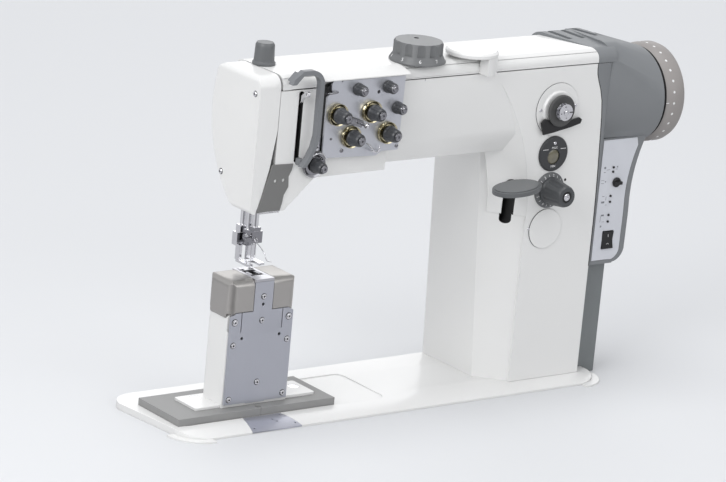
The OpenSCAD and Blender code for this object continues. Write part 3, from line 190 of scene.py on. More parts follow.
floor_finish = Finish("floor paint", Roughness=0.7)
spot = floor_finish.add("ShaderNodeTexCoord", {}, output="Object")
across, ahead = (floor_finish.add("ShaderNodeSeparateXYZ", {}, spot, output=axis) for axis in "XY")
aside = across * 0.8 - ahead * 0.6
towards = (across * -0.6 - ahead * 0.8).maths("MAXIMUM", across * -0.6 - ahead * 0.8, 0.05)
# Mirror-like surfaces see the floor painted dark in a wedge that runs from the machine towards the camera: a
# painted dark reflection, with nothing standing there to cast it.
painted_dark_reflection = floor_finish.add("ShaderNodeValToRGB", {"stops": [
    (0.0, (0.10, 0.10, 0.11, 1)), (0.22, (0.26, 0.26, 0.27, 1)), (0.5, (0.58, 0.58, 0.60, 1)),
    (1.0, (0.50, 0.50, 0.52, 1))]}, aside.maths("ABSOLUTE", aside).maths("DIVIDE", aside.maths(
        "ABSOLUTE", aside), towards) * 0.5)
floor_finish.feed("Base Color", staged(floor_finish, (0.56, 0.565, 0.57), painted_dark_reflection, (0.70, 0.71, 0.725)))
floor_mesh.materials.append(floor_finish.material)

world = bpy.data.worlds.new("studio")
bpy.context.scene.world = world
world.use_nodes = True
studio = Finish("studio", world.node_tree)
up = studio.add("ShaderNodeTexCoord", {}, output="Generated")
height = studio.add("ShaderNodeSeparateXYZ", {}, up, output="Z") * 0.5 + 0.5


def walls(*greys):
    """A wall's brightness from the floor up, as (height, grey) pairs."""
    return studio.add("ShaderNodeValToRGB", {"stops": [
        (rise, (grey * 0.98, grey * 0.99, grey * 1.02, 1)) for rise, grey in greys]}, height)


wall = staged(studio, walls((0.0, 0.56), (0.35, 0.43), (0.62, 0.96), (1.0, 0.81)),
              walls((0.0, 0.30), (0.42, 0.12), (0.53, 0.16), (0.60, 1.15), (0.75, 1.0), (1.0, 0.45)),
              (0.86, 0.88, 0.91))
backdrop = world.node_tree.nodes["Background"]
world.node_tree.links.new(wall.socket, backdrop.inputs["Color"])
backdrop.inputs["Strength"].default_value = 0.70


def lamp(name, place, aim, size, power, colour=(1, 1, 1)):
    light = bpy.data.lights.new(name, "AREA")
    light.shape = "RECTANGLE"
    light.size, light.size_y = size
    light.energy = power
    light.color = colour
    holder = bpy.data.objects.new(name, light)
    bpy.context.collection.objects.link(holder)
    holder.location = place
    holder.rotation_euler = (Vector(aim) - Vector(place)).to_track_quat("-Z", "Y").to_euler()


machine_middle = (0.2, 0, 0.2)
lamp("key", (-2.6, -1.0, 2.0), machine_middle, (1.8, 1.8), 44)
lamp("front", (0.9, -3.0, 1.5), machine_middle, (2.4, 1.6), 16)
lamp("top", (0.3, 0.3, 6.5), machine_middle, (4.4, 3.2), 152)
lamp("back", (2.9, 3.6, 2.1), machine_middle, (3.4, 1.7), 25)

camera = bpy.data.cameras.new("camera")
camera.sensor_width = 36
camera.lens = 196.33
camera.clip_end = 60
viewer = bpy.data.objects.new("camera", camera)
bpy.context.collection.objects.link(viewer)
viewer.location = (-2.7987, -3.8241, 1.5769)
viewer.rotation_euler = [math.radians(turn) for turn in (74.0309, -5.1260, -36.3689)]
bpy.context.scene.camera = viewer
bpy.context.scene.view_settings.view_transform = "Standard"

# ---------- White castings ----------
# Bed, post body and the arm with its column are iron castings, filled, rubbed down and sprayed
# with a hard two-part enamel. Edges are rounded by the paint, and it has a faint orange peel.


def enamel(name, colour, roughness=0.34, edge=0.9 * MM, peel=0.06 * MM):
    finish = Finish(name, Roughness=roughness, Coat_Weight=0.25, Coat_Roughness=0.12)
    cloud = finish.grain(9, detail=4)
    finish.feed("Base Color", finish.blend(cloud, [c * 0.975 for c in colour], colour))
    finish.feed("Roughness", cloud * 0.10 + (roughness - 0.05))
    finish.feed("Normal", finish.relief(finish.grain(420, detail=1), peel, edge))
    return finish.material


def dress(node, finish, edge=0.0, angle=32, inset=None, where=None, reshape=None):
    """A merged, smooth-shaded copy of a CAD piece with rounded edges; it stands for the piece.

    Faces for which where(face, centre) is true get the second finish, inset, and reshape(point)
    gives each corner its place."""
    source = frame["nodes"][node]
    body = body_of(source)
    shape = bmesh.new()
    shape.from_mesh(source.data)
    bmesh.ops.remove_doubles(shape, verts=shape.verts, dist=2e-6)
    bmesh.ops.dissolve_limit(shape, angle_limit=math.radians(0.4), verts=shape.verts, edges=shape.edges,
                             delimit={"NORMAL"})
    for vert in shape.verts if reshape else ():
        vert.co = reshape(vert.co)
    for face in shape.faces:
        face.smooth = True
        face.material_index = 1 if where and where(face, face.calc_center_median()) else 0
    for line in shape.edges:
        line.smooth = len(line.link_faces) == 2 and line.calc_face_angle(0) < math.radians(angle)
    mesh = bpy.data.meshes.new(node + "_dressed")
    shape.to_mesh(mesh)
    shape.free()
    mesh.materials.append(finish)
    if inset:
        mesh.materials.append(inset)
    piece = bpy.data.objects.new(node + "_dressed", mesh)
    bpy.context.collection.objects.link(piece)
    if edge:
        rounding = piece.modifiers.new("rounded edges", "BEVEL")
        rounding.width = edge
        rounding.segments = 2
        rounding.limit_method = "ANGLE"
        rounding.angle_limit = math.radians(angle)
        rounding.harden_normals = True
        rounding.miter_outer = "MITER_ARC"
    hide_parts(node)
    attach(piece, body if isinstance(body, str) else body[0])
    return piece


def near(value, goal, reach=0.3):
    """True where a length in metres lies within some millimetres of another."""
    return abs(value - goal) < reach * MM


def low(node):
    return Vector(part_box(node)[0])


def high(node):
    return Vector(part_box(node)[1])


def middle(node):
    return (low(node) + high(node)) / 2


# Near-black painted shade: it goes on slot walls, hidden joint faces, screw sockets, holes, rings round screw
# heads and a strip beside the housing's lip, where shade falls.
shade_black = Finish("painted shade, near black", Roughness=0.75)
shade_black.feed("Base Color", shade_black.blend(shade_black.grain(60), (0.012, 0.012, 0.013), (0.03, 0.03, 0.03)))
painted_shade = shade_black.material
column_front = low("round_cover").y + 1.2 * MM
slot_x = middle("stitch_knob").x / MM - 51
take_x = 11.5


def inside(face, low_corner, high_corner):
    """True where all of a face's corners lie between two corners in millimetres."""
    return all(least <= at / MM <= most for vert in face.verts
               for least, at, most in zip(low_corner, vert.co, high_corner))


def slot_walls(face, centre):
    """Walls of the slots in the column and the head that the two levers come out of, painted black as the shade
    inside the slots.
    """
    return (inside(face, (slot_x - 5.8, -80, 211.5), (slot_x + 5.8, 18, 273.5))
            or inside(face, (take_x - 3.8, -80, 329.5), (take_x + 3.8, 0, 420.5)))


white_enamel = enamel("white enamel", (0.83, 0.83, 0.82))
dress("bed_casting", white_enamel, edge=0.8 * MM)
dress("post_body", white_enamel, edge=0.8 * MM)
# The slots' walls in the arm are painted black as shade.
dress("arm_casting", white_enamel, edge=0.8 * MM, inset=painted_shade, where=slot_walls)

# ---------- Dark enamelled pieces ----------
# The oil pan is a shallow aluminium casting; the two plates under the post are ground iron.
# Both are sprayed dark grey with a finely textured, nearly matt enamel.


def textured_enamel(name, colour, roughness=0.5, texture=0.05 * MM):
    finish = Finish(name, Roughness=roughness)
    cloud = finish.grain(14, detail=5)
    finish.feed("Base Color", finish.blend(cloud, [c * 0.93 for c in colour], [c * 1.05 for c in colour]))
    finish.feed("Roughness", cloud * 0.12 + (roughness - 0.06))
    finish.feed("Normal", finish.relief(finish.grain(900, detail=2), texture, 0.7 * MM))
    return finish.material


base_enamel = textured_enamel("base plate enamel", (0.29, 0.29, 0.287))
pan_enamel = textured_enamel("pan enamel", (0.10, 0.105, 0.105))
for part, paint in (("post_base_left", base_enamel), ("post_base_right", base_enamel),
                    ("oil_pan", pan_enamel)):
    dress(part, paint, edge=0.7 * MM)

# ---------- White covers ----------
# Corner cushions, top cover, face cover, round cap and round covers are moulded in white plastic
# that matches the enamel, with a slightly softer shine. Their faces at a joint are painted black as shade.

white_plastic = enamel("white plastic", (0.83, 0.83, 0.82), roughness=0.38, peel=0.02 * MM)
grey_edge = enamel("grey rim of a cover", (0.15, 0.155, 0.16), roughness=0.45, peel=0.02 * MM)


def joint_face(face, centre):
    """Hidden faces of a cover that meet the head or the arm, painted black as the shade in the joint."""
    return face.normal.x > 0.9 and centre.x < 0 or face.normal.z < -0.97


def joint_turned(point):
    """The joint between top cover and motor housing runs at a flatter angle than a plain cut."""
    away = 48 - point.y / MM
    if point.z > 422 * MM and abs(point.x / MM - 440 - away * math.tan(math.radians(27))) < 1:
        return point + Vector(((9.5 - 0.181 * away) * MM, 0, 0))
    return point


def cover_shape(point):
    """The cover's turned joint, and its lower edge raised to open the seam above the arm."""
    return joint_turned(point) + Vector((0, 0, 0.8 * MM if near(point.z, 422.4 * MM) else 0))


def underside(face, centre):
    """The top cover's lower edge, painted black as the shade in the seam above the arm."""
    return face.normal.z < -0.9


def rim(face, centre):
    """The narrow edge round a flat cover on the column's front."""
    return abs(face.normal.y) < 0.5


dress("top_cover", white_plastic, edge=0.7 * MM, angle=50, inset=painted_shade, where=underside,
      reshape=cover_shape)
for part, edge, inset, where in (
        ("corner_cushions", 0.8, None, None), ("face_cover", 1.4, painted_shade, joint_face),
        ("top_cap", 0.8, None, None), ("winder_plate", 0.0, grey_edge, rim),
        ("round_cover", 0.0, grey_edge, rim)):
    dress(part, white_plastic, edge=edge * MM, inset=inset, where=where)

# ---------- Brushed plates ----------
# The slide plate, the post's front plate and the tension plate are sheet steel, brushed along
# their length and zinc plated, which gives them a cool, slightly lilac grey.


def brushed(name, colour, stretch, roughness=0.36, edge=0.35 * MM, metallic=0.85):
    finish = Finish(name, Roughness=roughness, Metallic=metallic)
    lines = finish.grain(60, stretch, detail=6, rough=0.7)
    cloud = finish.grain(12, detail=2)
    finish.feed("Base Color", finish.blend(lines * 0.6 + cloud * 0.4, [c * 0.90 for c in colour],
                                           [c * 1.06 for c in colour]))
    finish.feed("Roughness", lines * 0.22 + cloud * 0.08 + (roughness - 0.15))
    finish.feed("Normal", finish.relief(lines, 0.03 * MM, edge))
    return finish.material


along_bed = brushed("plated sheet, brushed along X", (0.58, 0.59, 0.66), (1, 20, 20))
upright = brushed("plated sheet, brushed along Z", (0.56, 0.575, 0.63), (20, 20, 1))
plate_steel = brushed("tension plate steel", (0.70, 0.715, 0.76), (20, 20, 1))
for part, metal in (("slide_plate", along_bed), ("post_front_plate", upright),
                    ("tension_plate", plate_steel)):
    dress(part, metal, edge=0.35 * MM)

# ---------- Satin covers ----------
# The hook covers are pressed steel with large rounded edges, glass-bead blasted and nickel
# plated to a warm satin grey. The chin plate below the face cover is darker, with a bright comb.

satin_nickel = brushed("satin nickel", (0.49, 0.475, 0.455), (1, 1, 1), roughness=0.36, edge=2.0 * MM,
                       metallic=0.85)
chin_steel = brushed("chin plate steel", (0.25, 0.25, 0.243), (20, 20, 1), roughness=0.38, metallic=0.6)
dress("hook_cover_left", satin_nickel, edge=1.6 * MM)
dress("hook_cover_right", satin_nickel, edge=1.6 * MM)
dress("chin_plate", chin_steel, edge=0.3 * MM)

# ---------- Bright steel ----------
# Throat plate, feed dog, hooks, bars, feet, thread guides, spindle and screws are hardened
# steel, polished and chromium plated. Shafts and bobbin cases are ground and left plain.


def polished(name, colour, roughness, edge=0.3 * MM):
    finish = Finish(name, Metallic=1.0)
    cloud = finish.grain(40, detail=3)
    finish.feed("Base Color", finish.blend(cloud, [c * 0.92 for c in colour], colour))
    finish.feed("Roughness", cloud * 0.10 + roughness)
    finish.feed("Normal", finish.relief(cloud, 0.01 * MM, edge))
    return finish.material


chrome = polished("polished chrome", (0.82, 0.82, 0.84), 0.08)
dark_chrome = polished("dark chrome", (0.34, 0.34, 0.36), 0.16)
ground_steel = polished("ground steel", (0.62, 0.62, 0.65), 0.26)
needle_low = low("needle_bar").z


def solids(node):
    """The lowest and highest corners of each separate solid in a piece."""
    shape = bmesh.new()
    shape.from_mesh(frame["nodes"][node].data)
    bmesh.ops.remove_doubles(shape, verts=shape.verts, dist=2e-6)
    left, boxes = set(shape.verts), []
    while left:
        group = [left.pop()]
        for vert in group:
            fresh = {line.other_vert(vert) for line in vert.link_edges} & left
            left -= fresh
            group.extend(fresh)
        boxes.append([Vector(pick(axis) for axis in zip(*(vert.co for vert in group)))
                      for pick in (min, max)])
    shape.free()
    return boxes


heads = []
for least, most in solids("screws"):
    heads.append(((least + most) / 2, most - least, least))


def screw_socket(face, centre):
    """Sunk middles of the screw heads, painted black as the shade inside them."""
    for axis_point, size, _ in heads:
        across = [axis for axis in range(3) if axis != list(size).index(min(size))]
        if all(max(abs(vert.co[axis] - axis_point[axis]) for axis in across) < 1.3 * MM
               for vert in face.verts):
            return True
    return False


def clamp_sides(face, centre):
    """Blued blocks of the needle clamp and of the feet's bars."""
    return near(centre.z, needle_low + 33 * MM, 11.5) and abs(face.normal.z) < 0.5


for part, metal, edge, inset, where in (
        ("throat_plate", ground_steel, 0.3, None, None), ("feed_dog", ground_steel, 0.1, None, None),
        ("hook_left", ground_steel, 0.4, None, None), ("hook_right", ground_steel, 0.4, None, None),
        ("bobbin_cases", ground_steel, 0.3, None, None), ("needle_bar", chrome, 0.3, dark_chrome, clamp_sides),
        ("walking_foot", chrome, 0.5, dark_chrome, clamp_sides), ("presser_foot", chrome, 0.6, None, None),
        ("take_up_lever", chrome, 0.3, None, None), ("thread_guides", chrome, 0.3, None, None),
        ("winder_spindle", chrome, 0.3, None, None), ("screws", chrome, 0.0, painted_shade, screw_socket),
        ("lower_shaft", ground_steel, 0.4, None, None), ("arm_shaft", ground_steel, 0.4, None, None)):
    dress(part, metal, edge=edge * MM, inset=inset, where=where)

# ---------- Comb and small fittings of the head ----------
# A nickel comb under the chin plate parts the threads. A bent wire beside the feet keeps fingers
# from the needles, and small dark screws hold the cover's lip.


def facing(direction, place):
    """Turns a shape's +Z to a direction, its +Y upwards, and moves it to a place."""
    turn = Vector(direction).to_track_quat("Z", "Y").to_matrix().to_4x4()
    return Matrix.Translation(Vector(place)) @ turn


def finished(name, shape, finish, body, angle=40):
    """Makes a bmesh a piece at the origin, with sharp edges past an angle, riding on a body."""
    bmesh.ops.recalc_face_normals(shape, faces=shape.faces)
    for face in shape.faces:
        face.smooth = True
    for line in shape.edges:
        line.smooth = len(line.link_faces) == 2 and line.calc_face_angle(0) < math.radians(angle)
    mesh = bpy.data.meshes.new(name)
    shape.to_mesh(mesh)
    shape.free()
    mesh.materials.append(finish)
    piece = bpy.data.objects.new(name, mesh)
    bpy.context.collection.objects.link(piece)
    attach(piece, body)
    return piece


def turned(shape, profile, place, direction=(0, -1, 0), steps=32):
    """Spins a profile of (radius, height) in millimetres about an axis through a place."""
    line = [shape.verts.new((radius * MM, 0, rise * MM)) for radius, rise in profile]
    rims = [shape.edges.new(pair) for pair in zip(line, line[1:])]
    made = set(shape.verts) - set(line)
    bmesh.ops.spin(shape, geom=line + rims, cent=(0, 0, 0), axis=(0, 0, 1), angle=math.tau, steps=steps,
                   use_merge=True)
    new = [vert for vert in shape.verts if vert not in made]
    bmesh.ops.remove_doubles(shape, verts=new, dist=1e-6)
    new = [vert for vert in shape.verts if vert not in made]
    bmesh.ops.transform(shape, matrix=facing(direction, place), verts=new)


def bar(shape, low_corner, high_corner, turn=Matrix.Identity(4)):
    """A block between two corners."""
    low_corner, high_corner = Vector(low_corner), Vector(high_corner)
    size = high_corner - low_corner
    bmesh.ops.create_cube(shape, size=1, matrix=turn @ Matrix.Translation((low_corner + high_corner) / 2)
                          @ Matrix.Diagonal((*size, 1)))


def wire(name, points, radius, finish, body):
    """A bent round wire through points, made a mesh."""
    path = bpy.data.curves.new(name, "CURVE")
    path.dimensions = "3D"
    path.bevel_depth = radius
    path.bevel_resolution = 3
    path.resolution_u = 8
    path.use_fill_caps = True
    spline = path.splines.new("BEZIER")
    spline.bezier_points.add(len(points) - 1)
    for knot, point in zip(spline.bezier_points, points):
        knot.co = point
        knot.handle_left_type = knot.handle_right_type = "AUTO"
    holder = bpy.data.objects.new(name, path)
    mesh = bpy.data.meshes.new_from_object(holder)
    bpy.data.objects.remove(holder)
    bpy.data.curves.remove(path)
    shape = bmesh.new()
    shape.from_mesh(mesh)
    bpy.data.meshes.remove(mesh)
    bmesh.ops.remove_doubles(shape, verts=shape.verts, dist=1e-6)
    return finished(name, shape, finish, body)


# Thin black rings round the screw heads: painted shadow where each head meets its plate.
shadow_rings = bmesh.new()
for place, size, least in heads:
    axis = list(size).index(min(size))
    if axis < 2:
        place = place.copy()
        place[axis] = least[axis] + (1.5 if axis else 1.65) * MM
        radius = max(size) / 2 / MM
        inner, outer = radius - 0.1, radius + 0.6
        turned(shadow_rings, [(inner, 0), (outer, 0), (outer, 0.12), (inner, 0.12), (inner, 0)], place,
               (0, -1, 0) if axis else (-1, 0, 0), steps=24)
finished("screw_shadow_rings", shadow_rings, painted_shade, "machine")
chin_low, chin_high = low("chin_plate"), high("chin_plate")
comb = bmesh.new()
comb_teeth, comb_pitch = 8, 3.8
bar(comb, (chin_low.x + 2 * MM, chin_low.y + 0.1 * MM, chin_low.z - 0.6 * MM),
    (chin_low.x + 33 * MM, chin_high.y, chin_low.z + 1.0 * MM))
for tooth in range(comb_teeth):
    turned(comb, [(0, 0), (1.5, 0), (1.5, 1.2), (0.8, 2.0), (0, 2.2)],
           (chin_low.x + (5 + tooth * comb_pitch) * MM, chin_low.y + 0.3 * MM, chin_low.z - 0.2 * MM), steps=12)
finished("thread_comb", comb, chrome, "machine")
sole = Vector((0, 0, low("presser_foot").z))
wire("finger_wire", [Vector(point) * MM + sole for point in (
    (11.4, 22, 26), (14, 8, 21), (15, -5, 12), (17, -8, 5), (23, -9, 3.5))], 0.6 * MM, chrome,
    "presser")
wire("thread_loop", [Vector(point) * MM + sole for point in (
    (-4, -6.8, 37), (-5.5, -9, 35), (-4, -10.5, 32), (-1, -9.5, 33), (-1.5, -7, 36))], 0.45 * MM,
    chrome, "needles")

# ---------- Drive belt and handwheel ----------
# A fabric-faced rubber belt joins the two shafts inside the column. The handwheel is moulded in
# warm grey plastic and carries a ring of white dots for setting the needle's place.


def moulded(name, colour, roughness=0.45, texture=0.04 * MM, edge=0.6 * MM, fine=700):
    finish = Finish(name, Roughness=roughness)
    cloud = finish.grain(18, detail=4)
    finish.feed("Base Color", finish.blend(cloud, [c * 0.92 for c in colour], [c * 1.05 for c in colour]))
    finish.feed("Roughness", cloud * 0.14 + (roughness - 0.07))
    finish.feed("Normal", finish.relief(finish.grain(fine, detail=2), texture, edge))
    return finish.material


belt_rubber_and_wheel_shade = moulded("belt rubber and wheel shade", (0.03, 0.03, 0.03), 0.75)
dress("toothed_belt", belt_rubber_and_wheel_shade)
wheel_grey = moulded("handwheel plastic", (0.315, 0.295, 0.285), 0.5)
hub = middle("handwheel")
wheel_r = (high("handwheel").z - low("handwheel").z) / 2


def wheel_back(face, centre):
    """The wheel's inner side, painted black as the shadow of the housing on it."""
    return face.normal.x < -0.8 and (centre - hub).yz.length > 25 * MM


# The wheel's inner side is painted black as the housing's shadow.
dress("handwheel", wheel_grey, edge=0.6 * MM, inset=belt_rubber_and_wheel_shade, where=wheel_back)

INK = 0.1 * MM
white_ink = moulded("white ink", (0.88, 0.88, 0.88), 0.5, 0)
grey_ink = moulded("grey ink", (0.22, 0.23, 0.25), 0.5, 0)
black_ink_and_hole_shade = moulded("black ink and hole shade", (0.015, 0.015, 0.016), 0.5, 0)


class Print:
    """Thin marks of ink on a piece, gathered in one mesh; sizes in millimetres."""

    def __init__(self):
        self.shape = bmesh.new()

    def dot(self, place, direction, radius):
        bmesh.ops.create_cone(self.shape, cap_ends=True, segments=20, radius1=radius * MM, radius2=radius * MM,
                              depth=INK, matrix=facing(direction, place))

    def stroke(self, place, direction, width, height, lean=0.0):
        turn = Matrix.Rotation(lean, 4, "Z")
        bmesh.ops.create_cube(self.shape, size=1, matrix=facing(direction, place) @ turn
                              @ Matrix.Diagonal((width * MM, height * MM, INK, 1)))

    def figures(self, words, place, direction, height, lean=0.0):
        curve = bpy.data.curves.new("figures", "FONT")
        curve.body = words
        curve.size = height * MM / 0.7
        curve.align_x, curve.align_y = "CENTER", "CENTER"
        curve.extrude = INK / 2
        holder = bpy.data.objects.new("figures", curve)
        mesh = bpy.data.meshes.new_from_object(holder)
        bpy.data.objects.remove(holder)
        bpy.data.curves.remove(curve)
        before = set(self.shape.verts)
        self.shape.from_mesh(mesh)
        bpy.data.meshes.remove(mesh)
        bmesh.ops.transform(self.shape, verts=[vert for vert in self.shape.verts if vert not in before],
                            matrix=facing(direction, place) @ Matrix.Rotation(lean, 4, "Z"))

    def done(self, name, ink, body):
        finished(name, self.shape, ink, body, angle=30)


dots = Print()
dot_count = 28
for step in range(dot_count):
    turn = step * math.tau / dot_count
    outward = Vector((0, math.cos(turn), math.sin(turn)))
    dots.dot(Vector((low("handwheel").x + 12 * MM, hub.y, hub.z)) + outward * wheel_r, outward, 1.8)
dots.done("wheel_dots", white_ink, "drive")

# ---------- Holes in the post's front plate ----------
# Three drilled holes for the covers' springs and for aligning the plate; no light gets into them,
# so a black disc closes each one behind the plate.

spots = Print()
plate_back = high("post_front_plate").y
for across, rise in ((-28.5, 99), (28.5, 99), (0, 141)):
    spots.dot((across * MM, plate_back - 0.1 * MM, rise * MM), (0, -1, 0), 1.95)
spots.done("plate_holes", painted_shade, "machine")

# ---------- Take-up guard ----------
# A cast band, painted light grey, that keeps fingers away from the take-up lever.

guard_paint = textured_enamel("guard paint", (0.205, 0.213, 0.225), 0.42, 0.02 * MM)
dress("take_up_guard", guard_paint, edge=1.0 * MM)

# ---------- Tensions ----------
# Each tension has a post, two polished brass-plated discs and a grooved, dark grey plastic nut
# with a chromed cap; the plate stands on a black carrier. The lowest one has larger, dark
# chromed discs and a check spring.

disc_brass = polished("brass-plated discs", (0.62, 0.56, 0.38), 0.12)
plate_face = low("tension_plate").y
nut_end, pre_end = low("tension_knob_a").y, low("pre_knob_a").y
lower, lower_back = middle("lower_knob"), high("lower_knob").y


def chromed(face, centre):
    """Caps on the posts' ends, the pin through each nut and the lowest tension's discs."""
    return (centre.y < nut_end or centre.x < lower.x + 20 * MM
            and centre.z < lower.z + 18 * MM)


dress("tension_discs", disc_brass, edge=0.2 * MM, inset=dark_chrome, where=chromed)
nut_grey = moulded("nut plastic", (0.060, 0.063, 0.069), 0.30, 0.01 * MM, 0.4 * MM)
black_plastic = moulded("black plastic", (0.012, 0.012, 0.013), 0.4, 0.01 * MM, 0.4 * MM)


def hub_dome(face, centre):
    """The small turned hub on the front of a pretension's knob."""
    return centre.y < pre_end + 2.2 * MM and face.normal.y < -0.3


for part in [name for name in frame["nodes"] if name.startswith(("tension_knob", "lower_knob"))]:
    dress(part, nut_grey, edge=0.35 * MM)
for part in ("pre_knob_a", "pre_knob_b", "pre_knob_c"):
    dress(part, nut_grey, edge=0.0, inset=dark_chrome, where=hub_dome)
for part, edge in (("tension_carrier", 0.4), ("winder_lever", 0.8), ("speed_knob", 0.3),
                   ("rocker_switch", 0.5), ("panel_lamps", 0.2)):
    dress(part, black_plastic, edge=edge * MM)

knob_a = middle("tension_knob_a")
link = bmesh.new()
bmesh.ops.create_cube(link, size=1, matrix=Matrix.Translation(
    (knob_a.x + 23 * MM, plate_face - 5 * MM, knob_a.z - 9 * MM)) @ Matrix.Rotation(math.radians(21), 4, "Y")
    @ Matrix.Diagonal((30 * MM, 2 * MM, 9 * MM, 1)))
bmesh.ops.bevel(link, geom=link.edges, offset=0.5 * MM, affect="EDGES", segments=2, profile=0.5, material=-1)
finished("release_link", link, dark_chrome, "machine")

fittings = bmesh.new()
for place, radius in (((72, 342.6), 2.6), ((54, 359), 1.6), ((157, 342), 2.4)):
    turned(fittings, [(0, 0), (radius, 0), (radius, 0.7), (radius * 0.75, 1.2), (radius * 0.35, 1.2),
                      (radius * 0.35, 0.4), (0, 0.4)], (place[0] * MM, plate_face + 0.05 * MM, place[1] * MM))
finished("plate_screws", fittings, dark_chrome, "machine")
catch = [Vector(point) * MM for point in ((41, 0.5, 418), (44, -3, 418), (50, -3.5, 418.5),
                                          (56, -3, 419), (57, 0.5, 419))]
wire("thread_pin", [point + Vector((0, plate_face, 0)) for point in catch], 1.3 * MM, dark_chrome, "machine")
hook = [Vector(point) * MM for point in ((110, 0.5, 349), (112, -4, 347), (116, -6, 342), (122, -6, 338),
                                         (127, -5, 341), (128, -3, 345))]
wire("thread_hook", [point + Vector((0, plate_face, 0)) for point in hook], 0.8 * MM, chrome, "machine")
spring = [Vector(point) * MM for point in ((-12, -2, 6), (-13, -5, 10), (-8, -7, 15), (0, -7, 17), (8, -6, 14),
                                           (13, -5, 8))]
wire("check_spring", [point + Vector((lower.x, lower_back + 2 * MM, lower.z)) for point in spring],
     0.9 * MM, chrome, "machine")
# Black dots painted as the shade inside the lowest disc's holes.
holes = Print()
for step in range(5):
    turn = math.radians(35 + step * 27)
    holes.dot((lower.x + 12.4 * MM * math.cos(turn), lower_back + 1.3 * MM,
               lower.z + 12.4 * MM * math.sin(turn)), (0, -1, 0), 1.2)
holes.done("disc_hole_shade", black_ink_and_hole_shade, "machine")

# ---------- Knobs on top ----------
# The presser's pressure knob and the stroke dial are ribbed grey plastic, the dial with white
# numbers printed round its skirt and a mark for them on the cover.

knob_grey = moulded("knob plastic", (0.137, 0.143, 0.148), 0.38, 0.015 * MM)
dial_grey = moulded("dial plastic", (0.165, 0.170, 0.174), 0.38, 0.015 * MM)
dial, dial_top = middle("stroke_dial"), high("stroke_dial").z
cover_top = high("top_cover").z


def dial_hole(face, centre):
    """The small hole in the dial's top, for its set screw, painted black as the shade inside it."""
    return ((centre - dial).xy - Vector((2, 8)) * MM).length < 3.7 * MM and centre.z < dial_top - 0.2 * MM


dress("pressure_knob", knob_grey, edge=0.6 * MM)
dress("stroke_dial", dial_grey, edge=0.7 * MM, inset=painted_shade, where=dial_hole)
numbers = Print()
skirt_r = (high("stroke_dial").x - low("stroke_dial").x) / 2
slant = math.atan2(4.5, 7.5)
for number in range(1, 10):
    turn = math.radians(238.6 + (number - 6) * 40)
    outward = Vector((math.cos(turn) * math.cos(slant), math.sin(turn) * math.cos(slant), math.sin(slant)))
    reach = skirt_r - 2.2 * MM
    place = Vector((dial.x + math.cos(turn) * reach, dial.y + math.sin(turn) * reach,
                    cover_top + 5.6 * MM))
    numbers.figures(str(number), place, outward, 4.6)
numbers.done("dial_numbers", white_ink, "stroke")
index = Print()
index.stroke((dial.x - 11 * MM, low("top_cover").y - 0.02 * MM, cover_top - 16 * MM), (0, -1, 0), 0.7, 3)
index.done("dial_index", grey_ink, "machine")

# ---------- Controls on the column ----------
# Oil gauge with a dark rim, stitch length knob in front of its scale, the bobbin winder's rubber
# driving disc, and the reverse lever's flat paddle, all in grey plastic.

stitch_grey = moulded("stitch knob plastic", (0.068, 0.072, 0.076), 0.36, 0.015 * MM)
scale_grey = moulded("scale plastic", (0.13, 0.135, 0.14), 0.42, 0.015 * MM)
paddle_grey = moulded("paddle plastic", (0.125, 0.131, 0.136), 0.34, 0.01 * MM)
gauge_black = moulded("gauge rim", (0.045, 0.047, 0.05), 0.35, 0.01 * MM)
disc_rubber = moulded("driving disc rubber", (0.075, 0.075, 0.075), 0.6, 0.03 * MM)
knob_end = low("stitch_knob")
ctrl_x = middle("stitch_knob").x


def knob_recess(face, centre):
    """Sunk middle of the stitch length knob's end, painted black as the shade in it."""
    return face.normal.y < -0.9 and near(centre.y, knob_end.y + 1.4 * MM, 0.4)


def lever_arm(face, centre):
    """The reverse lever's arm, which stays bare and black behind its paddle."""
    return centre.y > -70 * MM


dress("stitch_knob", stitch_grey, edge=0.7 * MM, inset=painted_shade, where=knob_recess)
dress("stitch_scale", scale_grey, edge=0.3 * MM)
dress("reverse_lever", paddle_grey, edge=1.2 * MM, inset=black_plastic, where=lever_arm)
dress("gauge_bezel", gauge_black, edge=0.4 * MM)
dress("winder_disc", disc_rubber, edge=0.3 * MM)
window = Finish("gauge window", Roughness=0.06, Coat_Weight=0.8, Coat_Roughness=0.03)
window.feed("Base Color", window.blend(window.grain(90), (0.10, 0.095, 0.07), (0.24, 0.22, 0.15)))
dress("gauge_window", window.material, edge=0.3 * MM)

screw_head = [(0, 0), (1, 0), (1, 0.35), (0.8, 0.6), (0.35, 0.6), (0.35, 0.25), (0, 0.25)]


def screw_at(shape, place, radius, direction=(0, -1, 0)):
    """A small pan-head screw with a sunk socket."""
    turned(shape, [(radius * across, radius * rise) for across, rise in screw_head], place, direction)


scale_z, gauge, winder = middle("stitch_knob").z, middle("gauge_bezel"), middle("winder_plate")
end_screw = bmesh.new()
turned(end_screw, [(0, 0), (4.8, 0), (4.8, 1.0), (4.2, 1.5), (2.0, 1.5), (2.0, 0.5), (0, 0.5)],
       (ctrl_x, knob_end.y + 1.45 * MM, scale_z))
finished("stitch_knob_screw", end_screw, chrome, "stitch")
front_screws = bmesh.new()
plate_y = column_front - 0.85 * MM
screw_at(front_screws, (ctrl_x - 28.5 * MM, plate_y, winder.z + 1 * MM), 2.4)
screw_at(front_screws, (ctrl_x + 29 * MM, plate_y, winder.z + 3 * MM), 2.4)
screw_at(front_screws, (ctrl_x, low("gauge_bezel").y + 1 * MM, gauge.z + 14.5 * MM), 2.5)
screw_at(front_screws, (ctrl_x - 27.6 * MM, column_front, middle("round_cover").z + 2 * MM), 1.9)
finished("column_screws", front_screws, chrome, "machine")

under = bmesh.new()
for across in (-3, 3):
    screw_at(under, ((slot_x + across - 2) * MM, low("reverse_lever").y + 34 * MM,
                     low("reverse_lever").z + 12 * MM), 2.2, (0, 0, -1))
finished("paddle_screws", under, chrome, "reverse")

